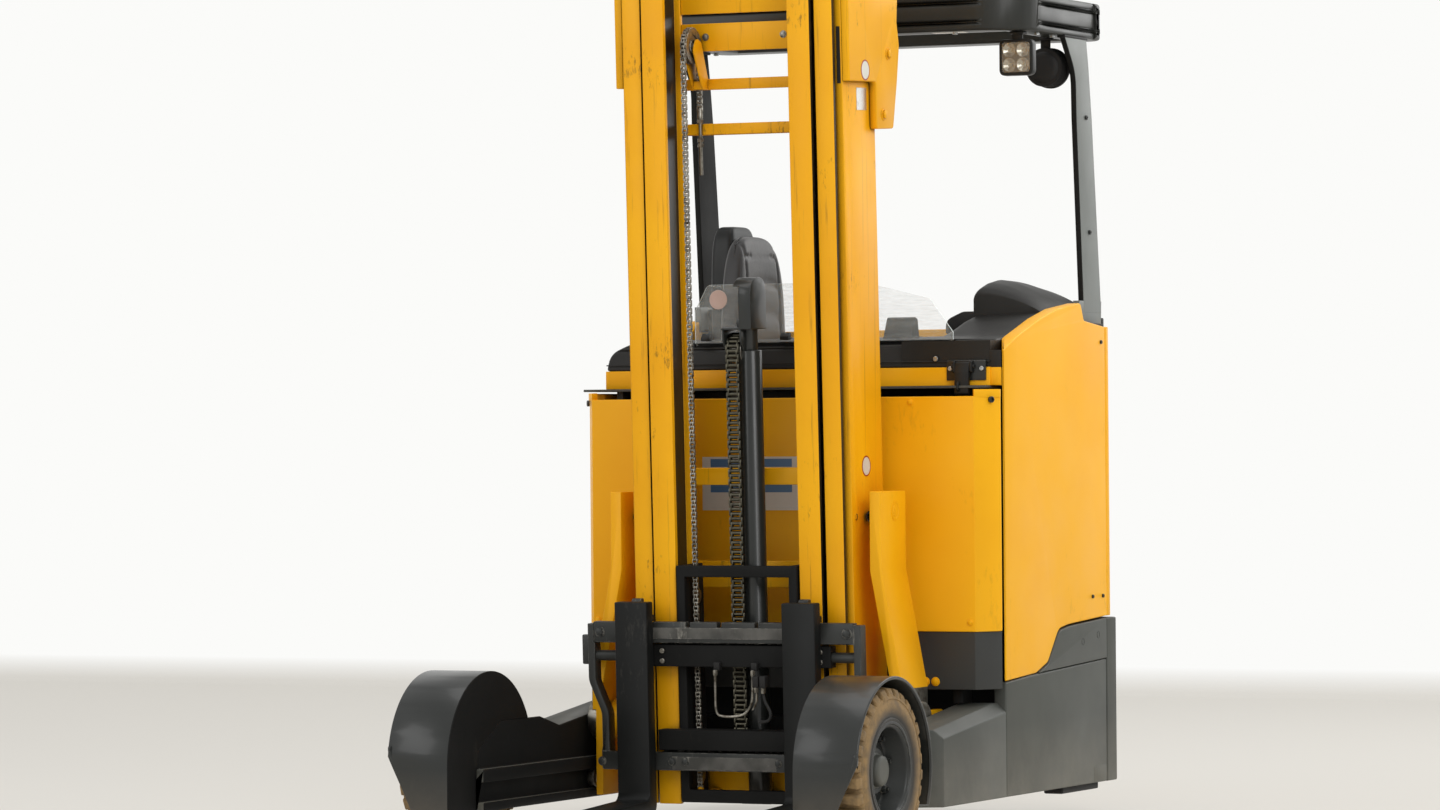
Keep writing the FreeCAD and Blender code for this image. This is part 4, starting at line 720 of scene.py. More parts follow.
def finishPiece(name, shape, finish, body="root", place=None, stands=(), sharp=38, slot=None):
    # A shape in millimetres. Unless a place is given, its body says where its origin is.
    mesh = asMesh(shape, name) if isinstance(shape, bmesh.types.BMesh) else shape
    mesh.transform(place or (mastPlace if body in mastBodies else chassisPlace))
    return linkPiece(name, mesh, body, finish, slot, stands, sharp)


def softened(mesh, edge, levels=2, least=30):
    # A mesh with rounded edges whose flat faces still look flat.
    holder = bpy.data.objects.new("softened", mesh)
    scene.collection.objects.link(holder)
    mesh.shade_smooth()
    bevel = holder.modifiers.new("Edges", "BEVEL")
    bevel.width = edge
    bevel.segments = levels
    bevel.limit_method = "ANGLE"
    bevel.angle_limit = math.radians(least)
    bevel.use_clamp_overlap = False
    bevel.harden_normals = True
    result = bpy.data.meshes.new_from_object(holder.evaluated_get(bpy.context.evaluated_depsgraph_get()))
    bpy.data.objects.remove(holder)
    return result


def nodeShape(node):
    # A merged copy of a CAD node's mesh, in metres, with its flat faces joined.
    shape = bmesh.new()
    shape.from_mesh(frame["nodes"][node].data)
    bmesh.ops.remove_doubles(shape, verts=shape.verts, dist=2e-5)
    bmesh.ops.dissolve_limit(shape, angle_limit=math.radians(0.5), verts=shape.verts, edges=shape.edges)
    return shape


def softNode(node, finish, edge=2.0, levels=2, least=30, shape=None, slot=None):
    # Stands for a CAD node with the same shape, rounded edges and a real finish.
    mesh = softened(asMesh(shape or nodeShape(node)), edge / 1000, levels, least)
    return linkPiece(node + "_skin", mesh, frame["nodes"][node]["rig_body"], finish, slot, (node,), sharp=0)


def cutFlat(shape, point, normal):
    # Cuts away what lies beyond a plane, in metres, and closes the cut.
    cut = bmesh.ops.bisect_plane(shape, geom=shape.verts[:] + shape.edges[:] + shape.faces[:], dist=1e-6,
        plane_co=point, plane_no=normal, clear_outer=True)["geom_cut"]
    bmesh.ops.holes_fill(shape, edges=[item for item in cut if isinstance(item, bmesh.types.BMEdge)])


def carved(shape, cutter, place=chassisPlace):
    # A shape with a cutter taken out of it. The place brings the cutter into the shape's own units.
    base = bpy.data.objects.new("carved", asMesh(shape))
    tool = bpy.data.objects.new("cutter", asMesh(cutter))
    tool.data.transform(place)
    for item in (base, tool):
        scene.collection.objects.link(item)
    boolean = base.modifiers.new("Carve", "BOOLEAN")
    boolean.operation = "DIFFERENCE"
    boolean.solver = "EXACT"
    boolean.use_self = True
    boolean.object = tool
    mesh = bpy.data.meshes.new_from_object(base.evaluated_get(bpy.context.evaluated_depsgraph_get()))
    bpy.data.objects.remove(base)
    bpy.data.objects.remove(tool)
    result = bmesh.new()
    result.from_mesh(mesh)
    bpy.data.meshes.remove(mesh)
    assert len(result.faces) > 10, "the carving left nothing"
    return result


def repaint(piece, finish, chosen):
    # Gives a second finish to the faces that a test on their middle and facing picks.
    mesh = piece.data
    mesh.materials.append(finishes[finish])
    last = len(mesh.materials) - 1
    for face in mesh.polygons:
        if chosen(face.center, face.normal):
            face.material_index = last


# Geometry Nodes trees for what repeats

def startTree(name, inputs):
    tree = bpy.data.node_groups.new(name, "GeometryNodeTree")
    tree.interface.new_socket("Geometry", in_out="INPUT", socket_type="NodeSocketGeometry")
    for label, kind in inputs.items():
        tree.interface.new_socket(label, in_out="INPUT", socket_type="NodeSocket" + kind)
    tree.interface.new_socket("Geometry", in_out="OUTPUT", socket_type="NodeSocketGeometry")
    return tree, add(tree, "NodeGroupInput").outputs


def endTree(tree, given, copies):
    real = add(tree, "GeometryNodeRealizeInstances", {0: copies})
    painted = add(tree, "GeometryNodeSetMaterial", {"Geometry": real.outputs[0], "Material": given["Finish"]})
    add(tree, "NodeGroupOutput", {0: painted.outputs[0]})
    return tree


def rowTree():
    # Copies of one piece in a straight row, each a little off in size by its own seed.
    tree, given = startTree("pieceRow", {"Piece": "Object", "Count": "Int", "First": "Vector",
        "Step": "Vector", "Uneven": "Float", "Seed": "Int", "Finish": "Material"})
    line = add(tree, "GeometryNodeMeshLine", {"Count": given["Count"], "Start Location": given["First"],
        "Offset": given["Step"]}, mode="OFFSET")
    source = add(tree, "GeometryNodeObjectInfo", {"Object": given["Piece"]})
    least = add(tree, "ShaderNodeMath", {0: 1.0, 1: given["Uneven"]}, operation="SUBTRACT")
    size = add(tree, "FunctionNodeRandomValue", {2: least.outputs[0], 3: 1.0, "Seed": given["Seed"]})
    copies = add(tree, "GeometryNodeInstanceOnPoints", {"Points": line.outputs[0],
        "Instance": source.outputs["Geometry"], "Scale": size.outputs[1]})
    return endTree(tree, given, copies.outputs[0])


def ringTree():
    # Copies of one piece turned round the X axis, from a first angle.
    tree, given = startTree("pieceRing", {"Piece": "Object", "Count": "Int", "Turn": "Float",
        "Uneven": "Float", "Seed": "Int", "Finish": "Material"})
    points = add(tree, "GeometryNodeMeshLine", {"Count": given["Count"], "Offset": (0, 0, 0)}, mode="OFFSET")
    source = add(tree, "GeometryNodeObjectInfo", {"Object": given["Piece"]})
    share = add(tree, "ShaderNodeMath", {0: math.tau, 1: given["Count"]}, operation="DIVIDE")
    angle = add(tree, "ShaderNodeMath", {0: add(tree, "GeometryNodeInputIndex").outputs[0],
        1: share.outputs[0], 2: given["Turn"]}, operation="MULTIPLY_ADD")
    least = add(tree, "ShaderNodeMath", {0: 1.0, 1: given["Uneven"]}, operation="SUBTRACT")
    size = add(tree, "FunctionNodeRandomValue", {2: least.outputs[0], 3: 1.0, "Seed": given["Seed"]})
    turn = add(tree, "ShaderNodeCombineXYZ", {0: angle.outputs[0]})
    copies = add(tree, "GeometryNodeInstanceOnPoints", {"Points": points.outputs[0],
        "Instance": source.outputs["Geometry"], "Rotation": turn.outputs[0], "Scale": size.outputs[1]})
    return endTree(tree, given, copies.outputs[0])


def spotTree():
    # Copies of one piece on loose points, each standing up along its point's own facing and turned at random.
    tree, given = startTree("pieceOnSpots", {"Piece": "Object", "Seed": "Int", "Finish": "Material"})
    source = add(tree, "GeometryNodeObjectInfo", {"Object": given["Piece"]})
    facing = add(tree, "GeometryNodeInputNamedAttribute", {"Name": "facing"}, data_type="FLOAT_VECTOR")
    stand = add(tree, "FunctionNodeAlignRotationToVector", {"Vector": facing.outputs[0]}, axis="Z")
    spin = add(tree, "FunctionNodeRandomValue", {2: 0.0, 3: math.tau, "Seed": given["Seed"]})
    turn = add(tree, "ShaderNodeCombineXYZ", {2: spin.outputs[1]})
    both = add(tree, "FunctionNodeRotateRotation", {"Rotation": stand.outputs[0],
        "Rotate By": turn.outputs[0]}, rotation_space="LOCAL")
    size = add(tree, "GeometryNodeInputNamedAttribute", {"Name": "size"}, data_type="FLOAT")
    copies = add(tree, "GeometryNodeInstanceOnPoints", {"Points": given["Geometry"],
        "Instance": source.outputs["Geometry"], "Rotation": both.outputs[0], "Scale": size.outputs[0]})
    return endTree(tree, given, copies.outputs[0])


trees = {"row": rowTree(), "ring": ringTree(), "spots": spotTree()}


def grow(treeName, shape, finish, points=None, **values):
    # Runs one tree on a small piece and gives the plain mesh that it makes.
    tree = trees[treeName]
    seedObject = bpy.data.objects.new("seedPiece", asMesh(shape))
    scene.collection.objects.link(seedObject)
    holder = bpy.data.objects.new("grown", points or bpy.data.meshes.new("grown"))
    scene.collection.objects.link(holder)
    modifier = holder.modifiers.new("Repeat", "NODES")
    modifier.node_group = tree
    given = {"Piece": seedObject, "Finish": finishes[finish], **values}
    for item in tree.interface.items_tree:
        if item.in_out == "INPUT" and item.name in given:
            modifier[item.identifier] = given[item.name]
    mesh = bpy.data.meshes.new_from_object(holder.evaluated_get(bpy.context.evaluated_depsgraph_get()))
    holder.modifiers.remove(modifier)
    bpy.data.objects.remove(holder)
    bpy.data.objects.remove(seedObject)
    return mesh


def growRing(shape, finish, count, centre, turn=0.0, uneven=0.0, seed=1):
    # A ring of pieces about an axis along X through the centre. The piece is modelled at its own radius.
    mesh = grow("ring", shape, finish, Count=count, Turn=turn, Uneven=uneven, Seed=seed)
    mesh.transform(Matrix.Translation(centre))
    return mesh


def joined(*parts):
    # Joins meshes and shapes, which are in the same units, into one shape.
    shape = bmesh.new()
    for part in parts:
        mesh = asMesh(part) if isinstance(part, bmesh.types.BMesh) else part
        shape.from_mesh(mesh)
        bpy.data.meshes.remove(mesh)
    return shape


screwSettings = {"headRadius": 9, "headHigh": 6, "washerRadius": 12, "washerHigh": 2, "socket": 4.5}


def hexScrew():
    # A hexagon head on a washer, standing up from the origin.
    settings = screwSettings
    shape = bmesh.new()
    addTurned(shape, "Z", (0, 0), [(0, 0), (0, settings["washerRadius"]),
        (settings["washerHigh"], settings["washerRadius"] - 1), (settings["washerHigh"], 0)], steps=16)
    radius = settings["headRadius"]
    addTurned(shape, "Z", (0, 0), [(1, 0), (1, radius), (settings["headHigh"] - 1, radius),
        (settings["headHigh"], radius - 1.5), (settings["headHigh"], 0)], steps=6)
    return shape


def socketScrew():
    # A round cap head with a recessed socket.
    settings = screwSettings
    radius = settings["headRadius"] - 1
    high = settings["headHigh"] + 1
    shape = bmesh.new()
    addTurned(shape, "Z", (0, 0), [(0, 0), (0, radius), (high - 1, radius), (high, radius - 1),
        (high, settings["socket"]), (high - 4, settings["socket"] - 0.6), (high - 4, 0)], steps=18)
    return shape


def mirrored(spots):
    # The same screws on the truck's left and then on its right.
    return [((sign * x, y, z), (sign * turn, *facing), size) for sign in (1, -1)
        for (x, y, z), (turn, *facing), size in spots]


def screwsAt(name, spots, body, slot, head=hexScrew, finish="zincPlate"):
    # A spot is ((x, y, z), (facing), size), with its place in millimetres.
    points = bpy.data.meshes.new(name)
    points.from_pydata([spot[0] for spot in spots], [], [])
    # Each attribute is looked up again, because adding one makes earlier handles stale.
    points.attributes.new("facing", "FLOAT_VECTOR", "POINT")
    points.attributes.new("size", "FLOAT", "POINT")
    for i, spot in enumerate(spots):
        points.attributes["facing"].data[i].vector = spot[1]
        points.attributes["size"].data[i].value = spot[2] if len(spot) > 2 else 1.0
    mesh = grow("spots", head(), finish, points=points, Seed=3)
    return finishPiece(name, mesh, finish, body, slot=slot)


print("tools ready")


# CAD nodes whose shape is kept: finish, edge rounding in millimetres and, if it is unusual, record slot

skins = {
    # The frame, the reach beam and the carriage housing are painted near black, partly as painted shade.
    "chassis_frame": ("greasyShadedSteel", 1.5),
    "side_sills": ("greyPowderCoat", 5),
    "corner_covers": ("greyPowderCoat", 3),
    "anti_tip_pads": ("blackRubber", 5),
    "battery_cover": ("yellowEnamel", 3),
    "battery_tray": ("darkPowderCoat", 2),
    "battery": ("batteryPaint", 3),
    "battery_lid": ("greyPowderCoat", 1.5),
    "cab_floor": ("blackEnamel", 2),
    "motor_hood": ("grainedPlastic", 6),
    "deck_front": ("yellowEnamel", 2),
    "reach_uprights": ("yellowEnamel", 2.5),
    "reach_beam": ("greasyShadedSteel", 3),
    "tilt_cylinders": ("blackEnamel", 1.5),
    "mast_head_plates": ("mastEnamel", 3),
    "outer_mast_crossbars": ("mastEnamel", 2),
    "lift_cylinders": ("blackEnamel", 1.5),
    "middle_mast_rails": ("mastEnamel", 2),
    "middle_mast_crossbars": ("mastEnamel", 2),
    "lift_rods": ("chromedRod", 1),
    "inner_mast_rails": ("mastEnamel", 2),
    "inner_mast_crossbars": ("mastEnamel", 2),
    "free_lift_cylinder": ("blackEnamel", 1.5),
    "carriage_frame": ("greasyShadedSteel", 2.5, "fork_steel"),
    "fork_left": ("forkPaint", 3),
    "fork_right": ("forkPaint", 3),
    "load_axles": ("blackEnamel", 2),
    "seat_base": ("smoothPlastic", 8),
}

for node, (finish, edge, *slot) in skins.items():
    softNode(node, finish, edge, slot=slot[0] if slot else None)
print(len(skins), "CAD skins made")


# Wheels

loadWheel = {"inner": 527, "width": 165, "radius": 225, "axleZ": 225, "rim": 128, "lugs": 30, "lugRoot": 202,
    "nuts": 8, "nutRing": 98, "capRadius": 43, "capProud": 8}


def distanceFromAxle(mesh, centreY, centreZ):
    # Keeps each point's distance from its wheel's axle, in metres, for the dust pattern.
    layer = mesh.attributes.new("fromAxle", "FLOAT", "POINT")
    for i, vert in enumerate(mesh.vertices):
        layer.data[i].value = math.hypot(vert.co.y - centreY, vert.co.z - centreZ)


def treadLug(inner, outer, skew):
    # One shoulder block: narrow at the middle of the tread, wide and rounded at the shoulder.
    size = loadWheel
    shape = bmesh.new()
    root = size["lugRoot"]
    top = size["radius"] - 1.6
    wide = math.tau * size["radius"] / size["lugs"] * 0.30
    ends = [(inner, wide * 0.72, 0, skew), (inner + (outer - inner) * 0.55, wide * 0.8, 0, skew * 0.4),
        (outer, wide, 4, 0)]
    sections = [(x, ((shift - half - 2, root), (shift - half, top - drop), (shift + half, top - drop),
        (shift + half + 2, root))) for x, half, drop, shift in ends]
    sections.append((outer + (7 if outer > inner else -7), ((-wide - 1, root - 12), (-wide * 0.9, top - 15),
        (wide * 0.9, top - 16), (wide + 1, root - 12))))
    rows = [[shape.verts.new((x, *corner)) for corner in corners] for x, corners in sections]
    faces = []
    for first, second in zip(rows, rows[1:]):
        for i in range(4):
            j = (i + 1) % 4
            faces.append(shape.faces.new((first[i], first[j], second[j], second[i])))
    faces += [shape.faces.new(rows[0]), shape.faces.new(rows[-1])]
    bmesh.ops.recalc_face_normals(shape, faces=faces)
    roundEdges(shape, shape.verts[:], 2.0, 2, 30)
    return shape


def loadTyre():
    size = loadWheel
    inner = size["inner"]
    width = size["width"]
    body = bmesh.new()
    half = [(9, size["rim"]), (3, 133), (2, 139), (6, 142), (3, 148), (0.6, 160), (0, 172), (2, 184),
        (4, 187), (4, 190), (2, 192), (4, 198), (12, 204), (30, 205)]
    profile = [(inner + along, radius) for along, radius in half]
    profile += [(inner + width - along, radius) for along, radius in reversed(half)]
    addTurned(body, "X", (0, 0), profile, steps=96)
    middle = width / 2
    outer = treadLug(inner + middle + 4, inner + width - 9, 8)
    near = treadLug(inner + middle - 4, inner + 9, 8)
    rings = [growRing(outer, "dustyTyreRubber", size["lugs"], (0, 0, 0), 0, 0.006, 5),
        growRing(near, "dustyTyreRubber", size["lugs"], (0, 0, 0), math.pi / size["lugs"], 0.006, 6)]
    return joined(body, *rings)


def loadRim():
    size = loadWheel
    inner = size["inner"]
    face = inner + size["width"]
    shape = bmesh.new()
    addTurned(shape, "X", (0, 0), [(inner + 5, 129), (inner + 2, 126), (inner + 4, 118), (inner + 60, 108),
        (inner + 62, 80), (inner + 13, 62), (inner + 13, 27), (face - 51, 27), (face - 50, 60),
        (face - 53, 64), (face - 66, 82), (face - 70, 88), (face - 70, 106), (face - 64, 111),
        (face - 14, 115), (face - 9, 118), (face - 7, 123), (face - 3.5, 125), (face - 2.5, 130),
        (face - 4, 134), (face - 7, 134), (face - 9, 128.5)], steps=72)
    nut = bmesh.new()
    ring = size["nutRing"]
    addRod(nut, "X", (0, ring), face - 70, face - 68, 12, 16)
    addTurned(nut, "X", (0, ring), [(face - 69, 0), (face - 69, 10.5), (face - 57, 10.5), (face - 55, 9),
        (face - 55, 0)], steps=6)
    addTurned(nut, "X", (0, ring), [(face - 56, 0), (face - 56, 6), (face - 48, 6), (face - 47, 5),
        (face - 47, 0)], steps=12)
    nuts = growRing(nut, "greasedSteel", size["nuts"], (0, 0, 0), 0.2)
    return joined(shape, nuts)


def hubCap():
    size = loadWheel
    face = size["inner"] + size["width"] - 50
    top = face + size["capProud"]
    radius = size["capRadius"]
    shape = bmesh.new()
    addTurned(shape, "X", (0, 0), [(face - 2, 0), (face - 2, radius + 5), (face + 1, radius + 5),
        (face + 3, radius + 2), (face + 3, radius), (top + 6, radius - 0.5), (top + 12, radius - 3),
        (top + 15, radius - 8), (top + 16, radius - 16), (top + 15, 10), (top + 15, 0)], steps=48)
    return shape


def makeLoadWheels():
    size = loadWheel
    for sign, side in ((1, "left"), (-1, "right")):
        body = "load_wheel_" + side
        for name, shape, finish, slot, stands in (
                (f"load_tyre_{side}_rubber", loadTyre(), "dustyTyreRubber", None, [f"load_tyre_{side}"]),
                (f"load_rim_{side}_steel", loadRim(), "rimEnamel", None, [f"load_rim_{side}"]),
                (f"load_hub_cap_{side}", hubCap(), "greyPowderCoat", "rim_steel", [])):
            if sign < 0:
                bmesh.ops.scale(shape, verts=shape.verts, vec=(-1, 1, 1))
                bmesh.ops.reverse_faces(shape, faces=shape.faces)
            mesh = asMesh(shape, name)
            mesh.transform(Matrix.Translation((0, 0, size["axleZ"])))
            mesh.transform(chassisPlace)
            distanceFromAxle(mesh, axleY, size["axleZ"] / 1000)
            linkPiece(name, mesh, body, finish, slot, stands)


driveWheelSizes = {"half": 70, "radius": 171, "rim": 120, "y": 1450, "grooves": 36}


def makeDriveWheel():
    size = driveWheelSizes
    half = size["half"]
    radius = size["radius"]
    tyre = bmesh.new()
    addTurned(tyre, "X", (0, 0), [(-half + 1, size["rim"]), (-half, 124), (-half, 160), (-half + 4, 167),
        (-half + 9, radius - 3), (-40, radius - 3), (-38, radius - 7), (-34, radius - 7), (-32, radius - 3),
        (-3, radius - 3), (-1, radius - 7), (1, radius - 7), (3, radius - 3), (32, radius - 3),
        (34, radius - 7), (38, radius - 7), (40, radius - 3), (half - 9, radius - 3), (half - 4, 167),
        (half, 160), (half, 124), (half - 1, size["rim"])], steps=96)
    pad = bmesh.new()
    for low, high in ((-60, -42), (-30, -5), (5, 30), (42, 60)):
        addBlock(pad, (low, -10.5, radius - 8), (high, 10.5, radius - 0.4), 1.4, 2)
    pads = growRing(pad, "polyurethaneTread", size["grooves"], (0, 0, 0), 0, 0.001)
    mesh = asMesh(joined(tyre, pads), "drive_tyre_tread")
    place = Matrix.Translation((0, size["y"], radius))
    mesh.transform(place)
    mesh.transform(chassisPlace)
    distanceFromAxle(mesh, axleY + size["y"] / 1000, radius / 1000)
    linkPiece("drive_tyre_tread", mesh, "drive_wheel", "polyurethaneTread", stands=["drive_tyre"])
    rim = bmesh.new()
    addTurned(rim, "X", (0, 0), [(-half + 6, 23), (half - 6, 23), (half - 6, 58), (half - 9, 62),
        (half - 28, 78), (half - 30, 84), (half - 26, 112), (half - 4, 116), (half - 3, size["rim"]),
        (-half + 3, size["rim"]), (-half + 4, 116), (-half + 26, 112), (-half + 30, 84), (-half + 28, 78),
        (-half + 9, 62), (-half + 6, 58)], steps=72)
    nuts = growRing(made(addTurned, "X", (0, 95), [(-half + 29, 0), (-half + 29, 11), (-half + 16, 11),
        (-half + 14, 9), (-half + 14, 0)], steps=6), "greasedSteel", 9, (0, 0, 0), 0.1)
    finishPiece("drive_rim_steel", joined(rim, nuts), "rimEnamel", "drive_wheel", place=chassisPlace @ place,
        stands=["drive_rim"])


makeLoadWheels()
makeDriveWheel()
print("wheels made")


# Wheel arms, fenders and skirt

armSizes = {"outer": 644, "front": 420, "chamfer": 26, "topFront": 308, "topRear": 362, "rear": 903}


def makeArms():
    size = armSizes
    shape = nodeShape("wheel_arms")
    # The arm's top outer edge is folded over in a wide chamfer.
    run = Vector((0, size["rear"] - size["front"], size["topRear"] - size["topFront"]))
    for sign in (1, -1):
        edge = chassisPlace @ Vector((sign * size["outer"], size["front"],
            size["topFront"] - size["chamfer"]))
        inner = chassisPlace @ Vector((sign * (size["outer"] - size["chamfer"]), size["front"],
            size["topFront"]))
        normal = (inner - edge).cross(run).normalized()
        if normal.x * sign < 0:
            normal = -normal
        cutFlat(shape, edge, normal)
    arms = softNode("wheel_arms", "greyPowderCoat", 4, 2, 30, shape)
    # The arms' inward faces are painted near black as painted shade.
    repaint(arms, "greasyShadedSteel", lambda spot, facing: facing.x * spot.x < -0.3 * abs(spot.x))


fenderSizes = {"radius": 252, "skin": 9, "axleZ": 225, "outer": 698, "bead": 5, "low": 60, "taper": 96,
    "plateInner": 522}


def makeFenders():
    size = fenderSizes
    fenders = softNode("load_fenders", "blackEnamel", 2.5, 2, 40)
    # The fenders' inward faces are painted near black as painted shade.
    repaint(fenders, "greasyShadedSteel", lambda spot, facing: facing.x * spot.x < -0.3 * abs(spot.x))
    # The arch runs on down behind the wheel, past the arm's end.
    tail = bmesh.new()
    lower = size["radius"] - size["skin"] + 0.5
    angles = [math.radians(a) for a in range(-25, 22, 3)]
    outline = [(lower * math.cos(a), size["axleZ"] + lower * math.sin(a)) for a in angles]
    outline += [((size["radius"] - 0.5) * math.cos(a), size["axleZ"] + (size["radius"] - 0.5) * math.sin(a))
        for a in reversed(angles)]
    addOutline(tail, "X", outline, size["plateInner"] + 2, size["outer"] - 1)
    addMirror(tail)
    finishPiece("fender_tails", tail, "blackEnamel")
    # The rolled outer rim follows the arch and then the tapered front edge.
    middle = size["radius"] - size["bead"]
    arch = [(size["outer"] - size["bead"], middle * math.cos(math.radians(a)),
        size["axleZ"] + middle * math.sin(math.radians(a))) for a in range(-25, 181, 6)]
    foot = [(size["outer"] - size["bead"], -middle, size["axleZ"] + 30),
        (size["outer"] - size["bead"] - (size["taper"] - 4) * 0.97, -middle, size["low"] + 6)]
    rim = bmesh.new()
    addPipe(rim, arch[:-1] + [(size["outer"] - size["bead"], -middle, size["axleZ"] + 60)] + foot,
        size["bead"], 8)
    addMirror(rim)
    finishPiece("fender_rims", rim, "blackEnamel")
    spots = [((size["plateInner"], y, z), (1, 0, 0), 1.1)
        for y, z in ((-40, 225), (150, 290), (40, 320), (330, 230))]
    screwsAt("fender_screws", mirrored(spots), "root", "black_paint", finish="greasedSteel")


skirtSizes = {"outer": 646, "sill": 644}


def makeSkirt():
    size = skirtSizes
    outer = size["outer"]
    holes = bmesh.new()
    for sign in (1, -1):
        for y, z in ((1480, 512), (1600, 528)):
            addTurned(holes, "X", (y, z), [(sign * (outer - 3), 0), (sign * (outer - 3), 11),
                (sign * (outer + 0.4), 11), (sign * (outer + 0.4), 8.5), (sign * (outer - 2), 8),
                (sign * (outer - 2), 0)], steps=20)
    finishPiece("skirt_hole_rims", holes, "smoothPlastic")
    finishPiece("skirt_foot_blocks", made(addSideBlocks, (size["sill"] - 20, 1560, 98.4),
        (size["sill"] + 1, 1664, 150), 5), "greyPowderCoat")


makeArms()
makeFenders()
makeSkirt()
print("arms and fenders made")


# Mast: chains, pulleys, pipes and fittings

centralChain = {"flange": 2, "x": -10, "pulleyY": -45, "radius": 45, "low": -30, "anchor": 728, "top": 1040,
    "width": 40, "pitch": 13.5, "plate": 12, "thick": 4, "roller": 5.6, "finish": "oiledChain"}
sideChain = {"flange": 6, "x": -140, "pulleyY": -42, "radius": 50, "low": -190, "anchor": 1714, "top": 1893,
    "width": 15, "pitch": 11, "plate": 8.5, "thick": 2.2, "roller": 4, "finish": "greasedSteel", "cheek": 15,
    "rodLow": 1533}


def chainUnit(size, pitch):
    # Two pitches of roller chain up Z: an outer link, then an inner one, with their pins and rollers.
    shape = bmesh.new()
    half = size["plate"] / 2
    turns = [(a, pitch) for a in range(0, 181, 45)] + [(a, 0) for a in range(180, 361, 45)]
    ends = size["width"] / 2
    for low, reach in ((0, ends), (pitch, ends - size["thick"] - 0.3)):
        outline = [(half * math.cos(math.radians(a)), low + rise + half * math.sin(math.radians(a)))
            for a, rise in turns]
        for sign in (1, -1):
            addOutline(shape, "X", outline, sign * reach, sign * (reach - size["thick"]))
    for z in (0, pitch):
        addRod(shape, "X", (0, z), -ends - 1, ends + 1, half * 0.5, 8)
        bush = ends - size["thick"] * 2 - 0.6
        addRod(shape, "X", (0, z), -bush, bush, size["roller"], 12)
    return shape


def chainRun(size, x, y, low, high):
    # A straight strand, from low to high.
    count = round((high - low) / (2 * size["pitch"]))
    step = (high - low) / count
    return grow("row", chainUnit(size, step / 2), size["finish"], Count=count, First=(x, y, low),
        Step=(0, 0, step), Uneven=0.0, Seed=2)


def chainArc(size, x):
    # The half turn over the pulley, from the front strand to the rear one.
    radius = size["radius"]
    count = round(math.pi * radius / (2 * size["pitch"]))
    step = math.pi * radius / count
    parts = []
    for i in range(count):
        part = chainUnit(size, step / 2)
        for vert in part.verts:
            along = (i * step + vert.co.z) / radius
            reach = radius - vert.co.y
            vert.co = Vector((vert.co.x + x, size["pulleyY"] - reach * math.cos(along),
                size["top"] + reach * math.sin(along)))
        parts.append(part)
    return joined(*parts)


def pulleyWheel(size, x, radius, width):
    # A flanged pulley with a pressed bearing, on its pin.
    half = width / 2
    pin = half + 4
    shape = bmesh.new()
    centre = (size["pulleyY"], size["top"])
    rim = radius + size["flange"]
    hub = [(half, radius * 0.42), (half - 3, radius * 0.45), (half - 3, radius * 0.72), (half, radius * 0.76),
        (half, rim - 1), (half - 1.5, rim), (half - 3, radius)]
    profile = [(x - along, reach) for along, reach in reversed(hub)] + [(x - half, 14), (x + half, 14)]
    profile += [(x + along, reach) for along, reach in hub]
    addTurned(shape, "X", centre, profile, steps=48)
    addTurned(shape, "X", centre, [(x - pin, 0), (x - pin, 9), (x - pin + 1, 10), (x + pin - 1, 10),
        (x + pin, 9), (x + pin, 0)], steps=24)
    return shape


def hangChain(name, size, x, top, stands=()):
    # The front strand hangs from the pulley down to its foot.
    y = size["pulleyY"] - size["radius"]
    front = finishPiece(name + "_front", chainRun(size, x, y, size["low"], size["top"]), size["finish"], top,
        stands=stands, slot="chain_steel")
    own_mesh(front)
    finishPiece(name + "_arc", chainArc(size, x), size["finish"], top, slot="chain_steel")


def makeCentralChain():
    size = centralChain
    x = size["x"]
    hangChain("lift_chain", size, x, "free_lift_rod",
        ["lift_chains"])
    y = size["pulleyY"] + size["radius"]
    rear = finishPiece("lift_chain_rear", chainRun(size, x, y, size["anchor"], size["top"]), "oiledChain",
        None, place=mastPlace)
    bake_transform(rear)
    finishPiece("chain_pulley_wheel", pulleyWheel(size, x, size["radius"] - 8, 42), "greasedSteel",
        "free_lift_rod", stands=["chain_pulley"])
    # A bent black yoke carries the pulley's pin below the rod's head.
    yoke = bmesh.new()
    for side in (x - 29, x + 25):
        addOutline(yoke, "X", roundCorners([(-62, 1016, 16), (-28, 1016, 16), (-8, 1104), (-98, 1104),
            (-96, 1068, 8)], 4), side, side + 5, 1)
    addBlock(yoke, (x - 29, -98, 1099), (x + 62, -6, 1106), 1.5)
    addBlock(yoke, (x + 6, -74, 1104), (x + 56, -12, 1128), 2)
    finishPiece("chain_pulley_yoke", yoke, "blackEnamel", "free_lift_rod")
    # The chain's foot is a forged eye with its pin and a lock nut.
    front = size["pulleyY"] - size["radius"]
    foot = bmesh.new()
    addOutline(foot, "X", roundCorners([(front - 9, -78), (front + 9, -78), (front + 9, -22, 6),
        (front - 9, -22, 6)], 3), x - 17, x + 17, 2)
    addRod(foot, "X", (front, -30), x - 25, x + 25, 6, 14)
    finishPiece("chain_foot", foot, "zincPlate", "fork_carriage")
    anchor = bmesh.new()
    rear = size["pulleyY"] + size["radius"]
    addOutline(anchor, "X", roundCorners([(rear - 8, 722), (rear + 8, 722), (rear + 8, 742, 5),
        (rear - 8, 742, 5)], 3), x - 25, x + 25, 1.5)
    finishPiece("chain_anchor_eye", anchor, "zincPlate", "inner_mast")


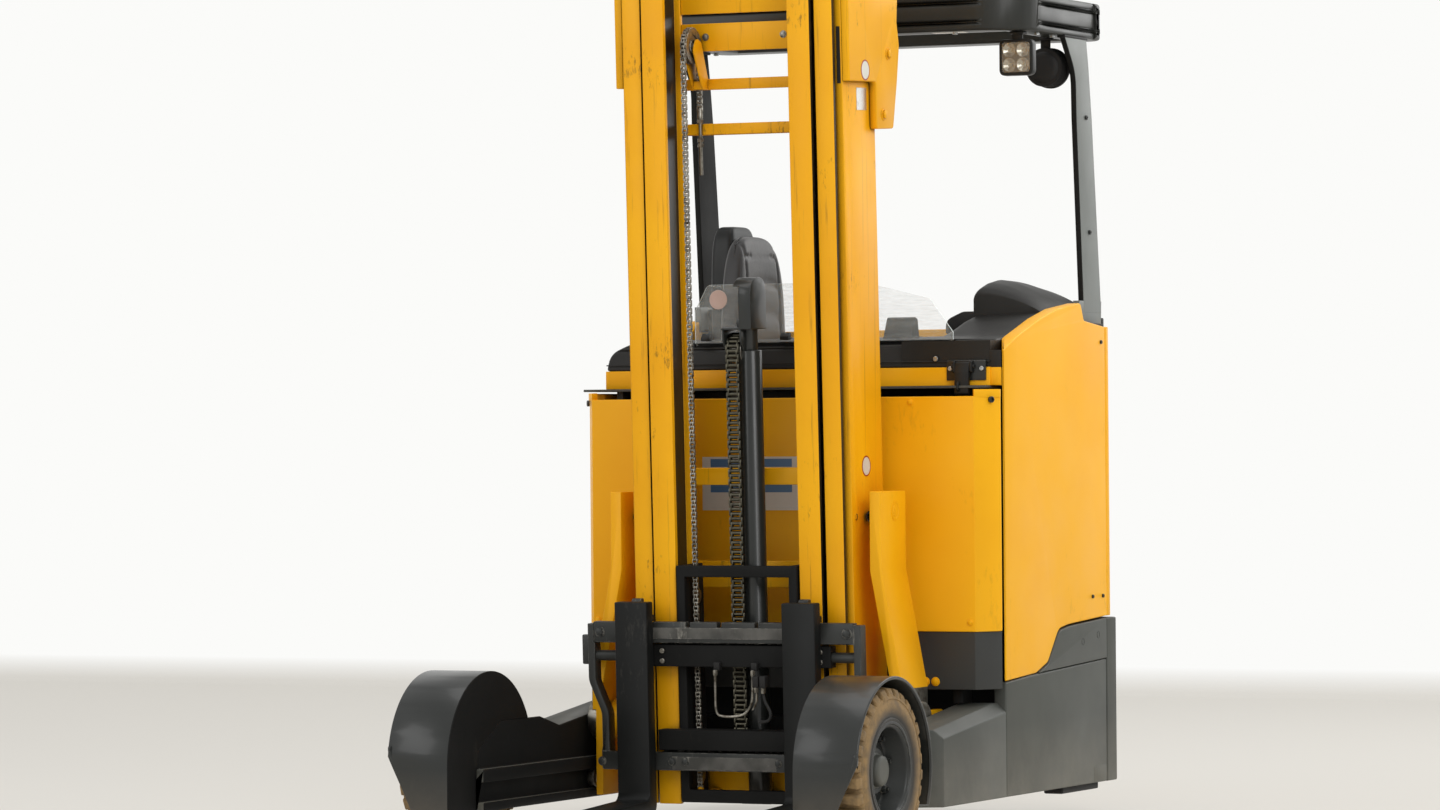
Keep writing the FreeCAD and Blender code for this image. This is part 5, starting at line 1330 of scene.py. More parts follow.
def makeSideChain():
    # The last stage's chain runs on one side only. Its rear strand ends in a threaded rod on a bracket.
    size = sideChain
    x = size["x"]
    foot = size["pulleyY"] - size["radius"]
    rear = size["pulleyY"] + size["radius"]
    hangChain("stage_chain", size, x, "middle_mast")
    finishPiece("stage_chain_rear", chainRun(size, x, rear, size["anchor"], size["top"]), size["finish"],
        "middle_mast", slot="chain_steel")
    finishPiece("stage_pulley", pulleyWheel(size, x, size["radius"] - 7, 18), "greasedSteel", "middle_mast")
    cheeks = bmesh.new()
    for offset in (-size["cheek"], size["cheek"]):
        addOutline(cheeks, "X", roundCorners([(-60, 1880, 14), (-42, 1918, 18), (-8, 1906, 14), (31, 1803),
            (31, 1772), (-4, 1772, 10)], 4), x + offset - 2, x + offset + 2, 0.8)
    addBlock(cheeks, (x - 15, -4, 1773), (x + 15, 31, 1797), 2)
    finishPiece("stage_pulley_cheeks", cheeks, "mastEnamel", "middle_mast")
    rod = bmesh.new()
    addTurned(rod, "Z", (x, rear), [(size["anchor"] - 22, 0), (size["anchor"] - 22, 8),
        (size["anchor"] + 4, 8), (size["anchor"] + 8, 5), (size["anchor"] + 8, 0)], steps=20)
    addTurned(rod, "Z", (x, rear), [(size["rodLow"], 0), (size["rodLow"], 4), (size["rodLow"] + 2, 5),
        (size["anchor"] - 21, 5), (size["anchor"] - 21, 0)], steps=14)
    for z in (1612, 1626, 1680):
        addTurned(rod, "Z", (x, rear), [(z, 0), (z, 9), (z + 1, 10), (z + 9, 10), (z + 10, 9), (z + 10, 0)],
            steps=6)
    finishPiece("stage_chain_rod", rod, "greasedSteel", "middle_mast")
    lug = bmesh.new()
    addBlock(lug, (x - 14, foot - 8, -218), (x + 14, 15, -196), 2)
    addTurned(lug, "Z", (x, foot), [(-197, 0), (-197, 9), (-184, 9), (-180, 6), (-180, 0)], steps=16)
    finishPiece("stage_chain_lug", lug, "mastEnamel", "inner_mast")


mastMarks = {"strips": ((322, 333, 1775, 1932), (-326, -319, 1762, 1908)), "stripFront": -76.9,
    "stickers": ((337.1, 28, 712), (360.1, 31, 1812)), "stickerRadius": 25, "ringRadius": 29,
    "plate": ((336.8, 18, 1702), (338, 84, 1764))}


def makeMastBodies():
    # The free-lift head is open on its left side, and the outer rails have slots for the tilt rods' lugs.
    gap = made(addBlock, (-60, -130, 1100), (-3, 20, 1260))
    softNode("free_lift_rod", "blackEnamel", 2, 2, 30, carved(nodeShape("free_lift_rod"), gap, mastPlace))
    slots = made(addSideBlocks, (337.3, -120, 535), (395, 75, 612))
    rails = carved(nodeShape("outer_mast_rails"), slots, mastPlace)
    softNode("outer_mast_rails", "mastEnamel", 2, 2, 30, rails)
    # Dark wear strips sit in the rails' front lips near the top.
    strips = bmesh.new()
    for low, high, foot, top in mastMarks["strips"]:
        addBlock(strips, (low, mastMarks["stripFront"], foot), (high, -75, top), 0.4, 1)
    finishPiece("mast_wear_strips", strips, "blackRubber", "outer_mast")
    # Blank round test stickers and a blank rating plate.
    discs = bmesh.new()
    rings = bmesh.new()
    radius = mastMarks["stickerRadius"]
    outer = mastMarks["ringRadius"]
    for x, y, z in mastMarks["stickers"]:
        addRod(discs, "X", (y, z), x, x + 0.5, radius, 32)
        addTurned(rings, "X", (y, z), [(x, radius + 0.2), (x, outer), (x + 0.5, outer),
            (x + 0.5, radius + 0.2)], steps=32)
    finishPiece("mast_sticker_discs", discs, "labelFilm", "outer_mast")
    finishPiece("mast_sticker_rings", rings, "redPlastic", "outer_mast", slot="panel_skin")
    finishPiece("mast_blank_plate", made(addBlock, *mastMarks["plate"], 0.3, 1), "zincPlate", "outer_mast",
        slot="panel_skin")


def makeMastScrews():
    spots = [((360, y, z), (1, 0, 0), 1.5) for y, z in ((150, 1690), (190, 1860), (150, 2080), (-40, 2130))]
    spots += [((230, 60, z), (0, 1, 0), 1.2) for z in (-150, -100)]
    screwsAt("outer_mast_screws", mirrored(spots), "outer_mast", "yellow_paint", finish="mastEnamel")
    spots = [((x, 14, z), (0, -1, 0), 0.9) for x, z in ((60, 2050), (60, 2180), (120, 1920))]
    screwsAt("inner_mast_screws", mirrored(spots), "inner_mast", "yellow_paint", finish="greasedSteel")


makeCentralChain()
makeSideChain()
makeMastBodies()
makeMastScrews()
print("mast fittings made")


# Fork carriage and side shift

carriageSizes = {"barFront": -167, "barTop": 287, "rest": -27, "reach": 420, "notchWide": 13,
    "notchDeep": 15, "notches": (-133, -36, 80, 190, -250), "fork": 257, "forkOffset": -33}


def makeCarriage():
    size = carriageSizes
    cutter = bmesh.new()
    for x in size["notches"]:
        addBlock(cutter, (x - size["notchWide"] / 2, size["barFront"] - 5,
            size["barTop"] - size["notchDeep"]), (x + size["notchWide"] / 2, size["barFront"] + 40,
            size["barTop"] + 5))
    shape = carved(nodeShape("side_shift_frame"), cutter, mastPlace)
    softNode("side_shift_frame", "carriagePaint", 2.5, 2, 30, shape)
    # Two bent oil pipes with their unions hang below the upper bar, beside a short black hose pipe.
    pipe = bmesh.new()
    addPipe(pipe, [(-42, -186, 150), (-42, -187, 90), (-42, -188, 34), (-20, -189, 26), (20, -189, 27),
        (50, -189, 34), (70, -188, 62), (72, -186, 100), (73, -186, 150)], 3.6, 10)
    addPipe(pipe, [(82, -182, 106), (82, -183, 80), (80, -184, 60), (70, -185, 46)], 3.2, 8)
    for x, z in ((-42, 146), (73, 146), (82, 100), (104, 98)):
        addTurned(pipe, "Z", (x, -185), [(z - 6, 0), (z - 6, 6), (z - 4, 7), (z + 8, 7), (z + 10, 5),
            (z + 10, 0)], steps=6)
    finishPiece("carriage_pipes", pipe, "greasedSteel", "side_shift")
    hose = bmesh.new()
    addPipe(hose, [(104, -185, 94), (106, -186, 72), (124, -188, 48), (128, -188, 26), (112, -187, 12),
        (90, -185, 14)], 4.5, 10)
    for x in (82, 104):
        addBlock(hose, (x - 9, -192, 108), (x + 9, -160, 140), 2)
    for x in (-42, 73):
        addBlock(hose, (x - 9, -178, 154), (x + 9, -162, 176), 2)
    finishPiece("carriage_hose_ends", hose, "blackRubber", "side_shift")
    scraped = bmesh.new()
    for low, high, foot, top in ((-240, 175, 240, 271), (-190, 130, -126, -90)):
        addBlock(scraped, (low, size["barFront"] - 0.8, foot), (high, size["barFront"] + 0.4, top), 0.3, 1)
    finishPiece("carriage_scraped_bars", scraped, "scrapedCarriage", "side_shift")
    plates = bmesh.new()
    left = size["rest"] - size["reach"]
    addBlock(plates, (left - 42, -118, 162), (left + 3, -100, 246), 4)
    addBlock(plates, (left - 6, -128, 178), (left + 4, -96, 232), 3)
    finishPiece("carriage_plates", plates, "carriagePaint", "side_shift")
    latches = bmesh.new()
    for sign in (1, -1):
        x = size["forkOffset"] + sign * size["fork"]
        addOutline(latches, "X", roundCorners([(-174, 332), (-146, 332), (-146, 352, 4), (-168, 352, 6)], 4),
            x - 14, x + 14, 2)
    finishPiece("fork_latches", latches, "carriagePaint", "side_shift")
    spots = []
    for sign in (1, -1):
        edge = size["rest"] + sign * (size["reach"] - 40)
        spots += [((edge, size["barFront"], 258), (0, -1, 0), 1.3), ((edge + sign * 2, size["barFront"],
            -106), (0, -1, 0), 1.1)]
    for x in (-190, 136):
        spots += [((x, size["barFront"], -104), (0, -1, 0), 1.0),
            ((x + 40, size["barFront"], -104), (0, -1, 0), 1.0)]
    screwsAt("carriage_screws", spots, "side_shift", "fork_steel", finish="carriagePaint")
    spots = [((x, -161, z), (0, -1, 0), 0.9) for x in (-270, -215, 215, 270) for z in (178, 206)]
    screwsAt("housing_screws", spots, "fork_carriage", "fork_steel", head=socketScrew, finish="greasedSteel")
    # Rollers' side faces carry a pressed cap.
    caps = bmesh.new()
    for sign in (1, -1):
        for z in (-152, 352):
            addTurned(caps, "X", (-45, z), [(sign * 184, 0), (sign * 184, 24), (sign * 158, 24),
                (sign * 155, 20), (sign * 155, 0)], steps=24)
    finishPiece("carriage_roller_caps", caps, "greasedSteel", "fork_carriage")


makeCarriage()
print("carriage made")


# Battery front, side panels and rear hood

batteryLooks = {"front": 801, "label": (-245, 904, 60, 1056), "bands": ((955, 978), (1027, 1050)),
    "coverTop": 1222, "cornerFacing": (0.836, -0.549, 0)}


def makeBatteryFront():
    size = batteryLooks
    front = size["front"]
    left, low, right, high = size["label"]
    finishPiece("battery_label", made(addBlock, (left, front - 0.8, low), (right, front + 1, high), 0.3, 1),
        "labelFilm")
    bands = bmesh.new()
    for bandLow, bandHigh in size["bands"]:
        addBlock(bands, (left + 26, front - 1.2, bandLow), (right - 24, front, bandHigh), 0.2, 1)
    finishPiece("battery_label_bands", bands, "blueFilm")
    # The folded corners stand a little above the cover, each with a dark bolt near its top.
    corners = bmesh.new()
    for sign in (1, -1):
        outline = [(sign * 596, front + 0.3), (sign * 643.7, front + 74), (sign * 643.7, front + 81),
            (sign * 628, front + 81), (sign * 586, front + 16)]
        addOutline(corners, "Z", outline, size["coverTop"] - 4, size["coverTop"] + 19, 1.5)
    finishPiece("battery_cover_corners", corners, "yellowEnamel")
    bolts = mirrored([((627, front + 46, 1212), size["cornerFacing"], 1.1)])
    screwsAt("battery_corner_bolts", bolts, "root", "yellow_paint", head=socketScrew, finish="blackEnamel")
    spots = mirrored([((x, front, z), (0, -1, 0), 0.8) for x, z in ((402, 1207), (580, 590))])
    spots += [((x, front + 3, 424), (0, -1, 0), 1.1) for x in (441, 471)]
    screwsAt("battery_cover_screws", spots, "root", "yellow_paint", finish="yellowEnamel")
    # The gap between the deck strip, the console and the side panel's folded front edge is closed by
    # two plates.
    finishPiece("deck_corner_plate", made(addOutline, "Z", [(602, 903), (637, 903), (608, 970), (602, 970)],
        1253, 1303, 1), "yellowEnamel")
    finishPiece("console_corner_plate", made(addOutline, "Z", [(600, 904), (637, 904), (608, 972),
        (600, 972)], 1302, 1351, 1), "grainedPlastic")


latchSizes = {"xs": (474, 593), "y": 899, "low": 1267, "high": 1333, "handle": (506, 548), "handleLow": 1226}


def makeLatch():
    # Battery lock: a bent bracket screwed to the deck with a drop handle on a pin.
    size = latchSizes
    y = size["y"]
    bracket = bmesh.new()
    addOutline(bracket, "X", roundCorners([(y + 1, size["low"]), (y - 5, size["low"]),
        (y - 5, size["high"] - 10, 6), (y + 40, size["high"] + 2, 4), (y + 40, size["high"] - 4),
        (y + 1, size["high"] - 14)], 3), *size["xs"], 1)
    finishPiece("battery_lock_bracket", bracket, "blackEnamel")
    handle = bmesh.new()
    left, right = size["handle"]
    addOutline(handle, "X", roundCorners([(y - 26, size["handleLow"], 6), (y - 14, size["handleLow"], 6),
        (y - 10, 1290, 20), (y - 4, 1318, 8), (y - 16, 1322, 8), (y - 24, 1290, 20)], 4), left, right, 3)
    for x in (left - 9, right + 1):
        addOutline(handle, "X", roundCorners([(y - 20, 1288, 6), (y - 2, 1288), (y - 2, 1322, 4),
            (y - 20, 1322, 8)], 4), x, x + 8, 1)
    addTurned(handle, "X", (y - 12, 1306), [(left - 14, 0), (left - 14, 5), (left - 13, 6), (right + 13, 6),
        (right + 14, 5), (right + 14, 0)], steps=18)
    addPipe(handle, [(left + 12, y - 20, 1240), (left + 12, y - 30, 1236), (left + 12, y - 34, 1246),
        (left + 12, y - 26, 1262)], 3.5, 8)
    finishPiece("battery_lock_handle", handle, "smoothPlastic")
    spots = [((486, y - 5, 1300), (0, -1, 0), 0.8), ((582, y - 5, 1300), (0, -1, 0), 0.8),
        ((440, y, 1328), (0, -1, 0), 0.9)]
    screwsAt("battery_lock_screws", spots, "root", "black_paint", head=socketScrew, finish="zincPlate")


panelSizes = {"outer": 644, "fold": (640, 903.4, 800), "foldFacing": (-0.9158, -0.4016, 0)}


def makePanels():
    size = panelSizes
    left = nodeShape("side_panel_left")
    # The panel's front edge is folded in behind the battery's corner.
    cutFlat(left, chassisPlace @ Vector(size["fold"]), Vector(size["foldFacing"]))
    softNode("side_panel_left", "yellowEnamel", 4, 3, 30, left, slot="panel_skin")
    softNode("side_panel_right", "yellowEnamel", 4, 3, 30, slot="panel_skin")
    spots = [((size["outer"], y, z), (1, 0, 0), 0.7) for y, z in ((1560, 640), (1640, 640), (1640, 1380))]
    spots += [((-size["outer"], y, z), (-1, 0, 0), 0.7) for y, z in ((940, 470), (940, 1200), (1640, 640),
        (1640, 1380))]
    screwsAt("panel_screws", spots, "root", "panel_skin", head=socketScrew, finish="blackEnamel")


hoodSizes = {"rear": 1732, "slots": 9, "slotWide": 210, "slotLow": 740, "slotStep": 24, "lampX": 520,
    "lampZ": 1330}


def makeRearHood():
    size = hoodSizes
    rear = size["rear"]
    cutter = bmesh.new()
    for sign in (1, -1):
        for i in range(size["slots"]):
            z = size["slotLow"] + i * size["slotStep"]
            addSideBlock(cutter, sign, (90, rear - 26, z), (90 + size["slotWide"], rear + 5, z + 10), 3)
    # A narrow gap parts the door in the middle from the fixed corners.
    for x in (-430, 430):
        addBlock(cutter, (x - 2, rear - 8, 600), (x + 2, rear + 5, 1400))
    for z in (1400, 600):
        addBlock(cutter, (-430, rear - 8, z - 2), (430, rear + 5, z + 2))
    addBlock(cutter, (-70, rear - 22, 1290), (70, rear + 5, 1340), 8, 3)
    shape = carved(nodeShape("rear_hood"), cutter)
    softNode("rear_hood", "yellowEnamel", 3, 2, 35, shape, slot="panel_skin")
    pull = bmesh.new()
    addOutline(pull, "X", roundCorners([(rear - 21, 1296), (rear - 12, 1296, 3), (rear - 4, 1318, 4),
        (rear - 4, 1336, 4), (rear - 21, 1338)], 4), -62, 62, 2)
    finishPiece("hood_pull", pull, "smoothPlastic")
    cases = bmesh.new()
    reds = bmesh.new()
    ambers = bmesh.new()
    for sign in (1, -1):
        x = sign * size["lampX"]
        z = size["lampZ"]
        addOutline(cases, "Y", roundBox((x - 34, z - 62), (x + 34, z + 62), 10, 5), rear - 3, rear + 9, 3)
        for lens, foot, top, low, high in ((reds, z - 55, z + 14, 8, 4), (ambers, z + 18, z + 55, 4, 8)):
            addOutline(lens, "Y", roundCorners([(x - 27, foot, low), (x + 27, foot, low),
                (x + 27, top, high), (x - 27, top, high)], 5), rear + 4, rear + 15, 4)
    finishPiece("tail_lamp_cases", cases, "smoothPlastic")
    finishPiece("tail_lamp_lenses", reds, "redPlastic")
    finishPiece("tail_turn_lenses", ambers, "amberLens")
    finishPiece("rear_blank_plate", made(addBlock, (-60, rear - 1, 1130), (60, rear + 0.8, 1200), 0.4, 1),
        "labelFilm")
    spots = mirrored([((x, rear, z), (0, 1, 0), 0.8)
        for x, z in ((470, 620), (590, 620), (470, 1390), (590, 1390), (400, 700), (400, 1300))])
    screwsAt("rear_hood_screws", spots, "root", "panel_skin", head=socketScrew, finish="blackEnamel")


bumperSizes = {"rear": 1758, "low": 98, "top": 575, "eye": (480, 420, 22)}


def makeBumper():
    # The counterweight's corners are cast round, with a lifting eye at each side and a towing pin in
    # the middle.
    size = bumperSizes
    rear = size["rear"]
    cutter = bmesh.new()
    eyeX, eyeZ, eyeRadius = size["eye"]
    addBlock(cutter, (-62, rear - 26, 250), (62, rear + 6, 330), 10, 3)
    for sign in (1, -1):
        addRod(cutter, "Y", (sign * eyeX, eyeZ), rear - 26, rear + 5, eyeRadius, 32)
        addSideBlock(cutter, sign, (200, rear - 5, size["low"] - 5), (203, rear + 5, size["top"] + 5))
    shape = carved(nodeShape("rear_bumper"), cutter)
    softNode("rear_bumper", "greyPowderCoat", 4, 3, 30, shape)
    hitch = bmesh.new()
    addTurned(hitch, "Z", (0, rear - 14), [(244, 0), (244, 9), (336, 9), (338, 14), (352, 14), (354, 11),
        (354, 0)], steps=24)
    addPipe(hitch, [(-8, rear - 14, 350), (-16, rear - 8, 366), (0, rear - 4, 380), (16, rear - 8, 366),
        (8, rear - 14, 350)], 2.6, 8)
    finishPiece("tow_pin", hitch, "zincPlate")
    spots = [((x, rear, z), (0, 1, 0), 1.3) for x in (120, 560) for z in (150, 520)]
    screwsAt("bumper_screws", mirrored(spots), "root", "grey_paint", finish="greyPowderCoat")


driveSizes = {"y": 1450, "radius": 88, "fins": 26}


def makeDriveUnit():
    size = driveSizes
    softNode("drive_unit", "blackEnamel", 3, 2, 35)
    fins = growRing(made(addBlock, (150, -1.4, size["radius"] - 1), (380, 1.4, size["radius"] + 7), 0.8, 1),
        "blackEnamel", size["fins"], (0, 0, 0), 0.05)
    turn = Matrix.Translation((0, size["y"], 90)) @ Matrix.Rotation(math.radians(-90), 4, "Y")
    fins.transform(turn)
    finishPiece("drive_motor_fins", fins, "blackEnamel", "steer_turret")
    finishPiece("turret_ring", made(addTurned, "Z", (0, size["y"]),
        [(184.5, 150), (184.5, 168), (178, 168), (178, 150)], steps=64), "greasedSteel", "steer_turret")


makeBatteryFront()
makeLatch()
makePanels()
makeRearHood()
makeBumper()
makeDriveUnit()
print("body details made")


# Console, screen, seat and controls

def pillow(low, high, power=5, cuts=22):
    # A full closed cushion form with soft crowned faces.
    shape = bmesh.new()
    bmesh.ops.create_cube(shape, size=2)
    bmesh.ops.subdivide_edges(shape, edges=shape.edges[:], cuts=cuts, use_grid_fill=True)
    for vert in shape.verts:
        reach = sum(abs(value) ** power for value in vert.co) ** (1 / power)
        vert.co = Vector([low[i] + (vert.co[i] / reach + 1) * (high[i] - low[i]) / 2 for i in range(3)])
    return shape


seatSizes = {"cushionLow": (-410, 1252, 902), "cushionHigh": (-42, 1658, 1010), "backLow": (-452, 1328, 905),
    "backHigh": (-362, 1668, 1705), "ribs": 9, "ribDeep": 7, "shellLow": (-522, 1434, 1000),
    "shellHigh": (-442, 1618, 1737), "bootFolds": 6, "bootLow": 470, "bootStep": 66,
    "bootCorners": (-508, 1308, -152, 1574)}


def makeSeat():
    size = seatSizes
    cushion = pillow(size["cushionLow"], size["cushionHigh"], 5.5, 34)
    low = Vector(size["cushionLow"])
    high = Vector(size["cushionHigh"])
    for vert in cushion.verts:
        aside = (vert.co.y - low.y) / (high.y - low.y) * 2 - 1
        along = (vert.co.x - low.x) / (high.x - low.x)
        if vert.co.z > (low.z + high.z) / 2:
            # Side bolsters stand up, and sewn channels run across the middle panel.
            vert.co.z -= 16 * max(0, 1 - abs(aside) * 1.25)
            if abs(aside) < 0.62 and 0.06 < along < 0.92:
                vert.co.z -= 4.5 * math.exp(-((along * 8 % 1 - 0.5) / 0.13) ** 2)
            vert.co.z -= 6 * math.exp(-((abs(aside) - 0.66) / 0.035) ** 2)
    piece = finishPiece("seat_cushion_cover", cushion, "seatVinyl", stands=["seat_cushion"], sharp=0)
    piece.data.shade_smooth()
    back = pillow(size["backLow"], size["backHigh"], 4.2, 44)
    low = Vector(size["backLow"])
    high = Vector(size["backHigh"])
    for vert in back.verts:
        aside = (vert.co.y - low.y) / (high.y - low.y) * 2 - 1
        rise = (vert.co.z - low.z) / (high.z - low.z)
        # The back narrows to its head and curves round the driver's sides.
        vert.co.y += aside * -20 * max(0, rise - 0.55) / 0.45
        if vert.co.x > (low.x + high.x) / 2:
            vert.co.x -= 14 * max(0, 1 - aside * aside * 1.2)
            wave = (rise + 0.035 * aside * aside) * size["ribs"] % 1
            if abs(aside) < 0.66 and 0.1 < rise < 0.93:
                vert.co.x -= size["ribDeep"] * math.exp(-((wave - 0.5) / 0.12) ** 2)
            vert.co.x -= 7 * math.exp(-((abs(aside) - 0.7) / 0.035) ** 2)
    piece = finishPiece("seat_backrest_cover", back, "seatVinyl", stands=["seat_backrest"], sharp=0)
    piece.data.shade_smooth()
    shell = pillow(size["shellLow"], size["shellHigh"], 6, 20)
    finishPiece("seat_shell", shell, "smoothPlastic", sharp=0).data.shade_smooth()
    # A rubber boot covers the suspension below the cushion.
    boot = bmesh.new()
    left, front, right, rear = size["bootCorners"]
    for i in range(size["bootFolds"]):
        z = size["bootLow"] + i * size["bootStep"]
        inset = 10 if i % 2 else 0
        fold = roundBox((left + inset, front + inset), (right - inset, rear - inset), 30, 4)
        addOutline(boot, "Z", fold, z, z + size["bootStep"] + 1, 8, 2)
    finishPiece("seat_boot", boot, "blackRubber")


controlSizes = {"wheelCentre": (210, 1545), "wheelRadius": 110, "wheelLow": 1118.6,
    "armLow": (-448, 1152, 1100), "armHigh": (18, 1222, 1160), "leverX": -20, "leverY": 1184}


def makeControls():
    size = controlSizes
    centre = size["wheelCentre"]
    low = size["wheelLow"]
    radius = size["wheelRadius"]
    wheel = bmesh.new()
    addTurned(wheel, "Z", centre, [(low + 22 + 10 * math.sin(math.tau * i / 12),
        radius - 10 + 10 * math.cos(math.tau * i / 12)) for i in range(12)], steps=48)
    addTurned(wheel, "Z", centre, [(low, 0), (low, 32), (low + 14, 34), (low + 24, 30), (low + 28, 22),
        (low + 28, 0)], steps=32)
    for angle in (90, 210, 330):
        turn = Matrix.Translation((*centre, 0)) @ Matrix.Rotation(math.radians(angle), 4, "Z")
        spoke = bmesh.new()
        addOutline(spoke, "Z", roundCorners([(26, -13), (radius - 12, -8, 3), (radius - 12, 8, 3), (26, 13)],
            3), low + 12, low + 24, 3)
        bmesh.ops.transform(spoke, matrix=turn, verts=spoke.verts)
        wheel = joined(wheel, spoke)
    knob = (centre[0] + radius - 19, centre[1])
    addTurned(wheel, "Z", knob, [(low + 18, 0), (low + 18, 7), (low + 36, 8), (low + 42, 15), (low + 56, 18),
        (low + 66, 13), (low + 68, 0)], steps=24)
    finishPiece("steering_wheel_rim", wheel, "smoothPlastic", "steering_wheel", stands=["steering_wheel"])
    post = bmesh.new()
    addOutline(post, "Y", roundCorners([(-388, 446), (-312, 446), (-316, 700, 30), (-300, 1104),
        (-400, 1104), (-384, 700, 30)], 4), 1164, 1210, 6)
    finishPiece("armrest_post", post, "smoothPlastic", stands=["armrest"])
    pad = pillow(size["armLow"], size["armHigh"], 7, 16)
    finishPiece("armrest_pad", pad, "seatVinyl", sharp=0).data.shade_smooth()
    stick = bmesh.new()
    x = size["leverX"]
    y = size["leverY"]
    addTurned(stick, "Z", (x, y), [(1150, 0), (1150, 34), (1162, 34), (1168, 28), (1180, 24), (1184, 18),
        (1196, 16), (1200, 9), (1226, 8), (1232, 20), (1246, 25), (1258, 20), (1262, 0)], steps=28)
    for offset in (-96, -66):
        addTurned(stick, "Z", (x + offset, y), [(1156, 0), (1156, 9), (1166, 9), (1168, 5), (1192, 5),
            (1194, 10), (1206, 10), (1209, 7), (1209, 0)], steps=18)
    finishPiece("control_stick", stick, "smoothPlastic")
    finishPiece("stop_button", made(addTurned, "Z", (-140, y), [(1155, 0), (1155, 15), (1166, 15),
        (1176, 19), (1182, 17), (1184, 0)], steps=28), "redPlastic", slot="black_plastic")


pedalXs = (300, 390, 480)


def makePedals():
    base = bmesh.new()
    rib = bmesh.new()
    for x in pedalXs:
        addOutline(base, "X", roundCorners([(1205, 446, 3), (1292, 446, 3), (1294, 458, 4), (1206, 472, 5)],
            3), x + 1, x + 69, 2)
    finishPiece("pedal_pads", base, "blackRubber", stands=["pedals"])
    addBlock(rib, (-29, -2, 0), (29, 2, 4), 1.2, 2)
    ribs = [grow("row", rib.copy(), "blackRubber", Count=8, First=(x + 35, 1212, 468.6),
        Step=(0, 10.6, -1.65), Uneven=0.0, Seed=1) for x in pedalXs]
    rib.free()
    finishPiece("pedal_ribs", joined(*ribs), "blackRubber")


matSizes = {"low": (-598, 1148, 445), "high": (598, 1346, 449), "ribs": 13, "first": (-300, 1162, 448.4),
    "step": (0, 14, 0)}


def makeMat():
    # Ribbed rubber mat in the foot well.
    size = matSizes
    mat = made(addBlock, size["low"], size["high"], 1.5, 2)
    ribs = grow("row", made(addBlock, (-270, -2.4, 0), (270, 2.4, 4.5), 1.5, 2), "matRubber",
        Count=size["ribs"], First=size["first"], Step=size["step"], Uneven=0.0, Seed=1)
    finishPiece("floor_mat", joined(mat, ribs), "matRubber")


screenSizes = {"y": 940, "feet": (-290, -40, 180), "disc": (-257, 1507, 28)}


def makeScreen():
    size = screenSizes
    sheet = softNode("screen", "clearPolycarbonate", 1.2, 2)
    # The sheet's edge faces take the painted highlight.
    repaint(sheet, "sheetEdgeHighlight", lambda spot, facing: abs(facing.y) < 0.6)
    x, z, radius = size["disc"]
    finishPiece("screen_disc", made(addTurned, "Y", (x, z), [(size["y"] - 0.7, 0),
        (size["y"] - 0.7, radius - 0.5), (size["y"] - 0.1, radius), (size["y"] - 0.1, 0)], steps=40),
        "pinkFilm")
    feet = bmesh.new()
    for x in size["feet"]:
        addOutline(feet, "X", roundCorners([(918, 1388), (934, 1388), (939.4, 1396, 3), (939.4, 1410, 3),
            (930, 1410, 4), (918, 1398, 6)], 3), x - 13, x + 13, 1.5)
    finishPiece("screen_feet", feet, "smoothPlastic")
    screwsAt("screen_screws", [((x, 932, 1404), (0, -1, 0), 0.6) for x in size["feet"]], "root",
        "black_plastic", head=socketScrew)


def makeDisplay():
    case = bmesh.new()
    addOutline(case, "X", roundCorners([(1012, 1387), (1074, 1387), (1070, 1400, 6), (1060, 1446, 8),
        (1040, 1452, 10), (1016, 1404, 8)], 5), 228, 316, 4, 3)
    finishPiece("display_case", case, "smoothPlastic", stands=["display"])
    finishPiece("display_glass", made(addOutline, "X", [(1073.6, 1404), (1074.8, 1404.4), (1064.6, 1439.4),
        (1063.4, 1439)], 238, 306, 0.4, 1), "displayGlass")


hoodForm = {"left": 408, "outer": 603.5, "frontLeft": 1250, "frontRight": 1284, "start": 905, "end": 1560,
    "base": 1379, "low": 1304, "sweep": 332, "innerTop": ((1240, 1526), (1330, 1552), (1400, 1562),
    (1480, 1560), (1560, 1548)), "panelTop": ((903, 1352), (999, 1388), (1057, 1397), (1185, 1443),
    (1306, 1470), (1430, 1487), (1560, 1492))}


def alongLine(points, y):
    # The height of a line of (y, z) points at y.
    for (y0, z0), (y1, z1) in zip(points, points[1:]):
        if y <= y1:
            share = max(0, (y - y0) / (y1 - y0))
            return z0 + (z1 - z0) * share
    return points[-1][1]


def easeIn(value):
    value = min(1, max(0, value))
    return value * value * (3 - 2 * value)


def hoodHeight(x, y):
    # The console sweeps up towards the panel. Behind its front face the hood is a full dome that falls
    # outwards.
    size = hoodForm
    panel = alongLine(size["panelTop"], y) - 3
    base = size["base"] + easeIn((x - size["sweep"]) / 90) * max(0, panel - size["base"])
    share = (x - size["left"]) / (size["outer"] - size["left"])
    front = size["frontLeft"] + (size["frontRight"] - size["frontLeft"]) * share
    if x < size["left"]:
        return base if y < front else size["low"] + 2
    if y < front:
        return base
    inner = alongLine(size["innerTop"], y)
    top = panel + (inner - panel) * math.sin((1 - share) * math.pi / 2) ** 0.85
    roundX = min(1, (x - size["left"]) / 26)
    roundY = min(1, (y - front) / 34)
    lift = (0.80 + 0.20 * math.sqrt(1 - (1 - roundX) ** 2)) * (0.80 + 0.20 * math.sqrt(1 - (1 - roundY) ** 2))
    return base + (top - base) * lift


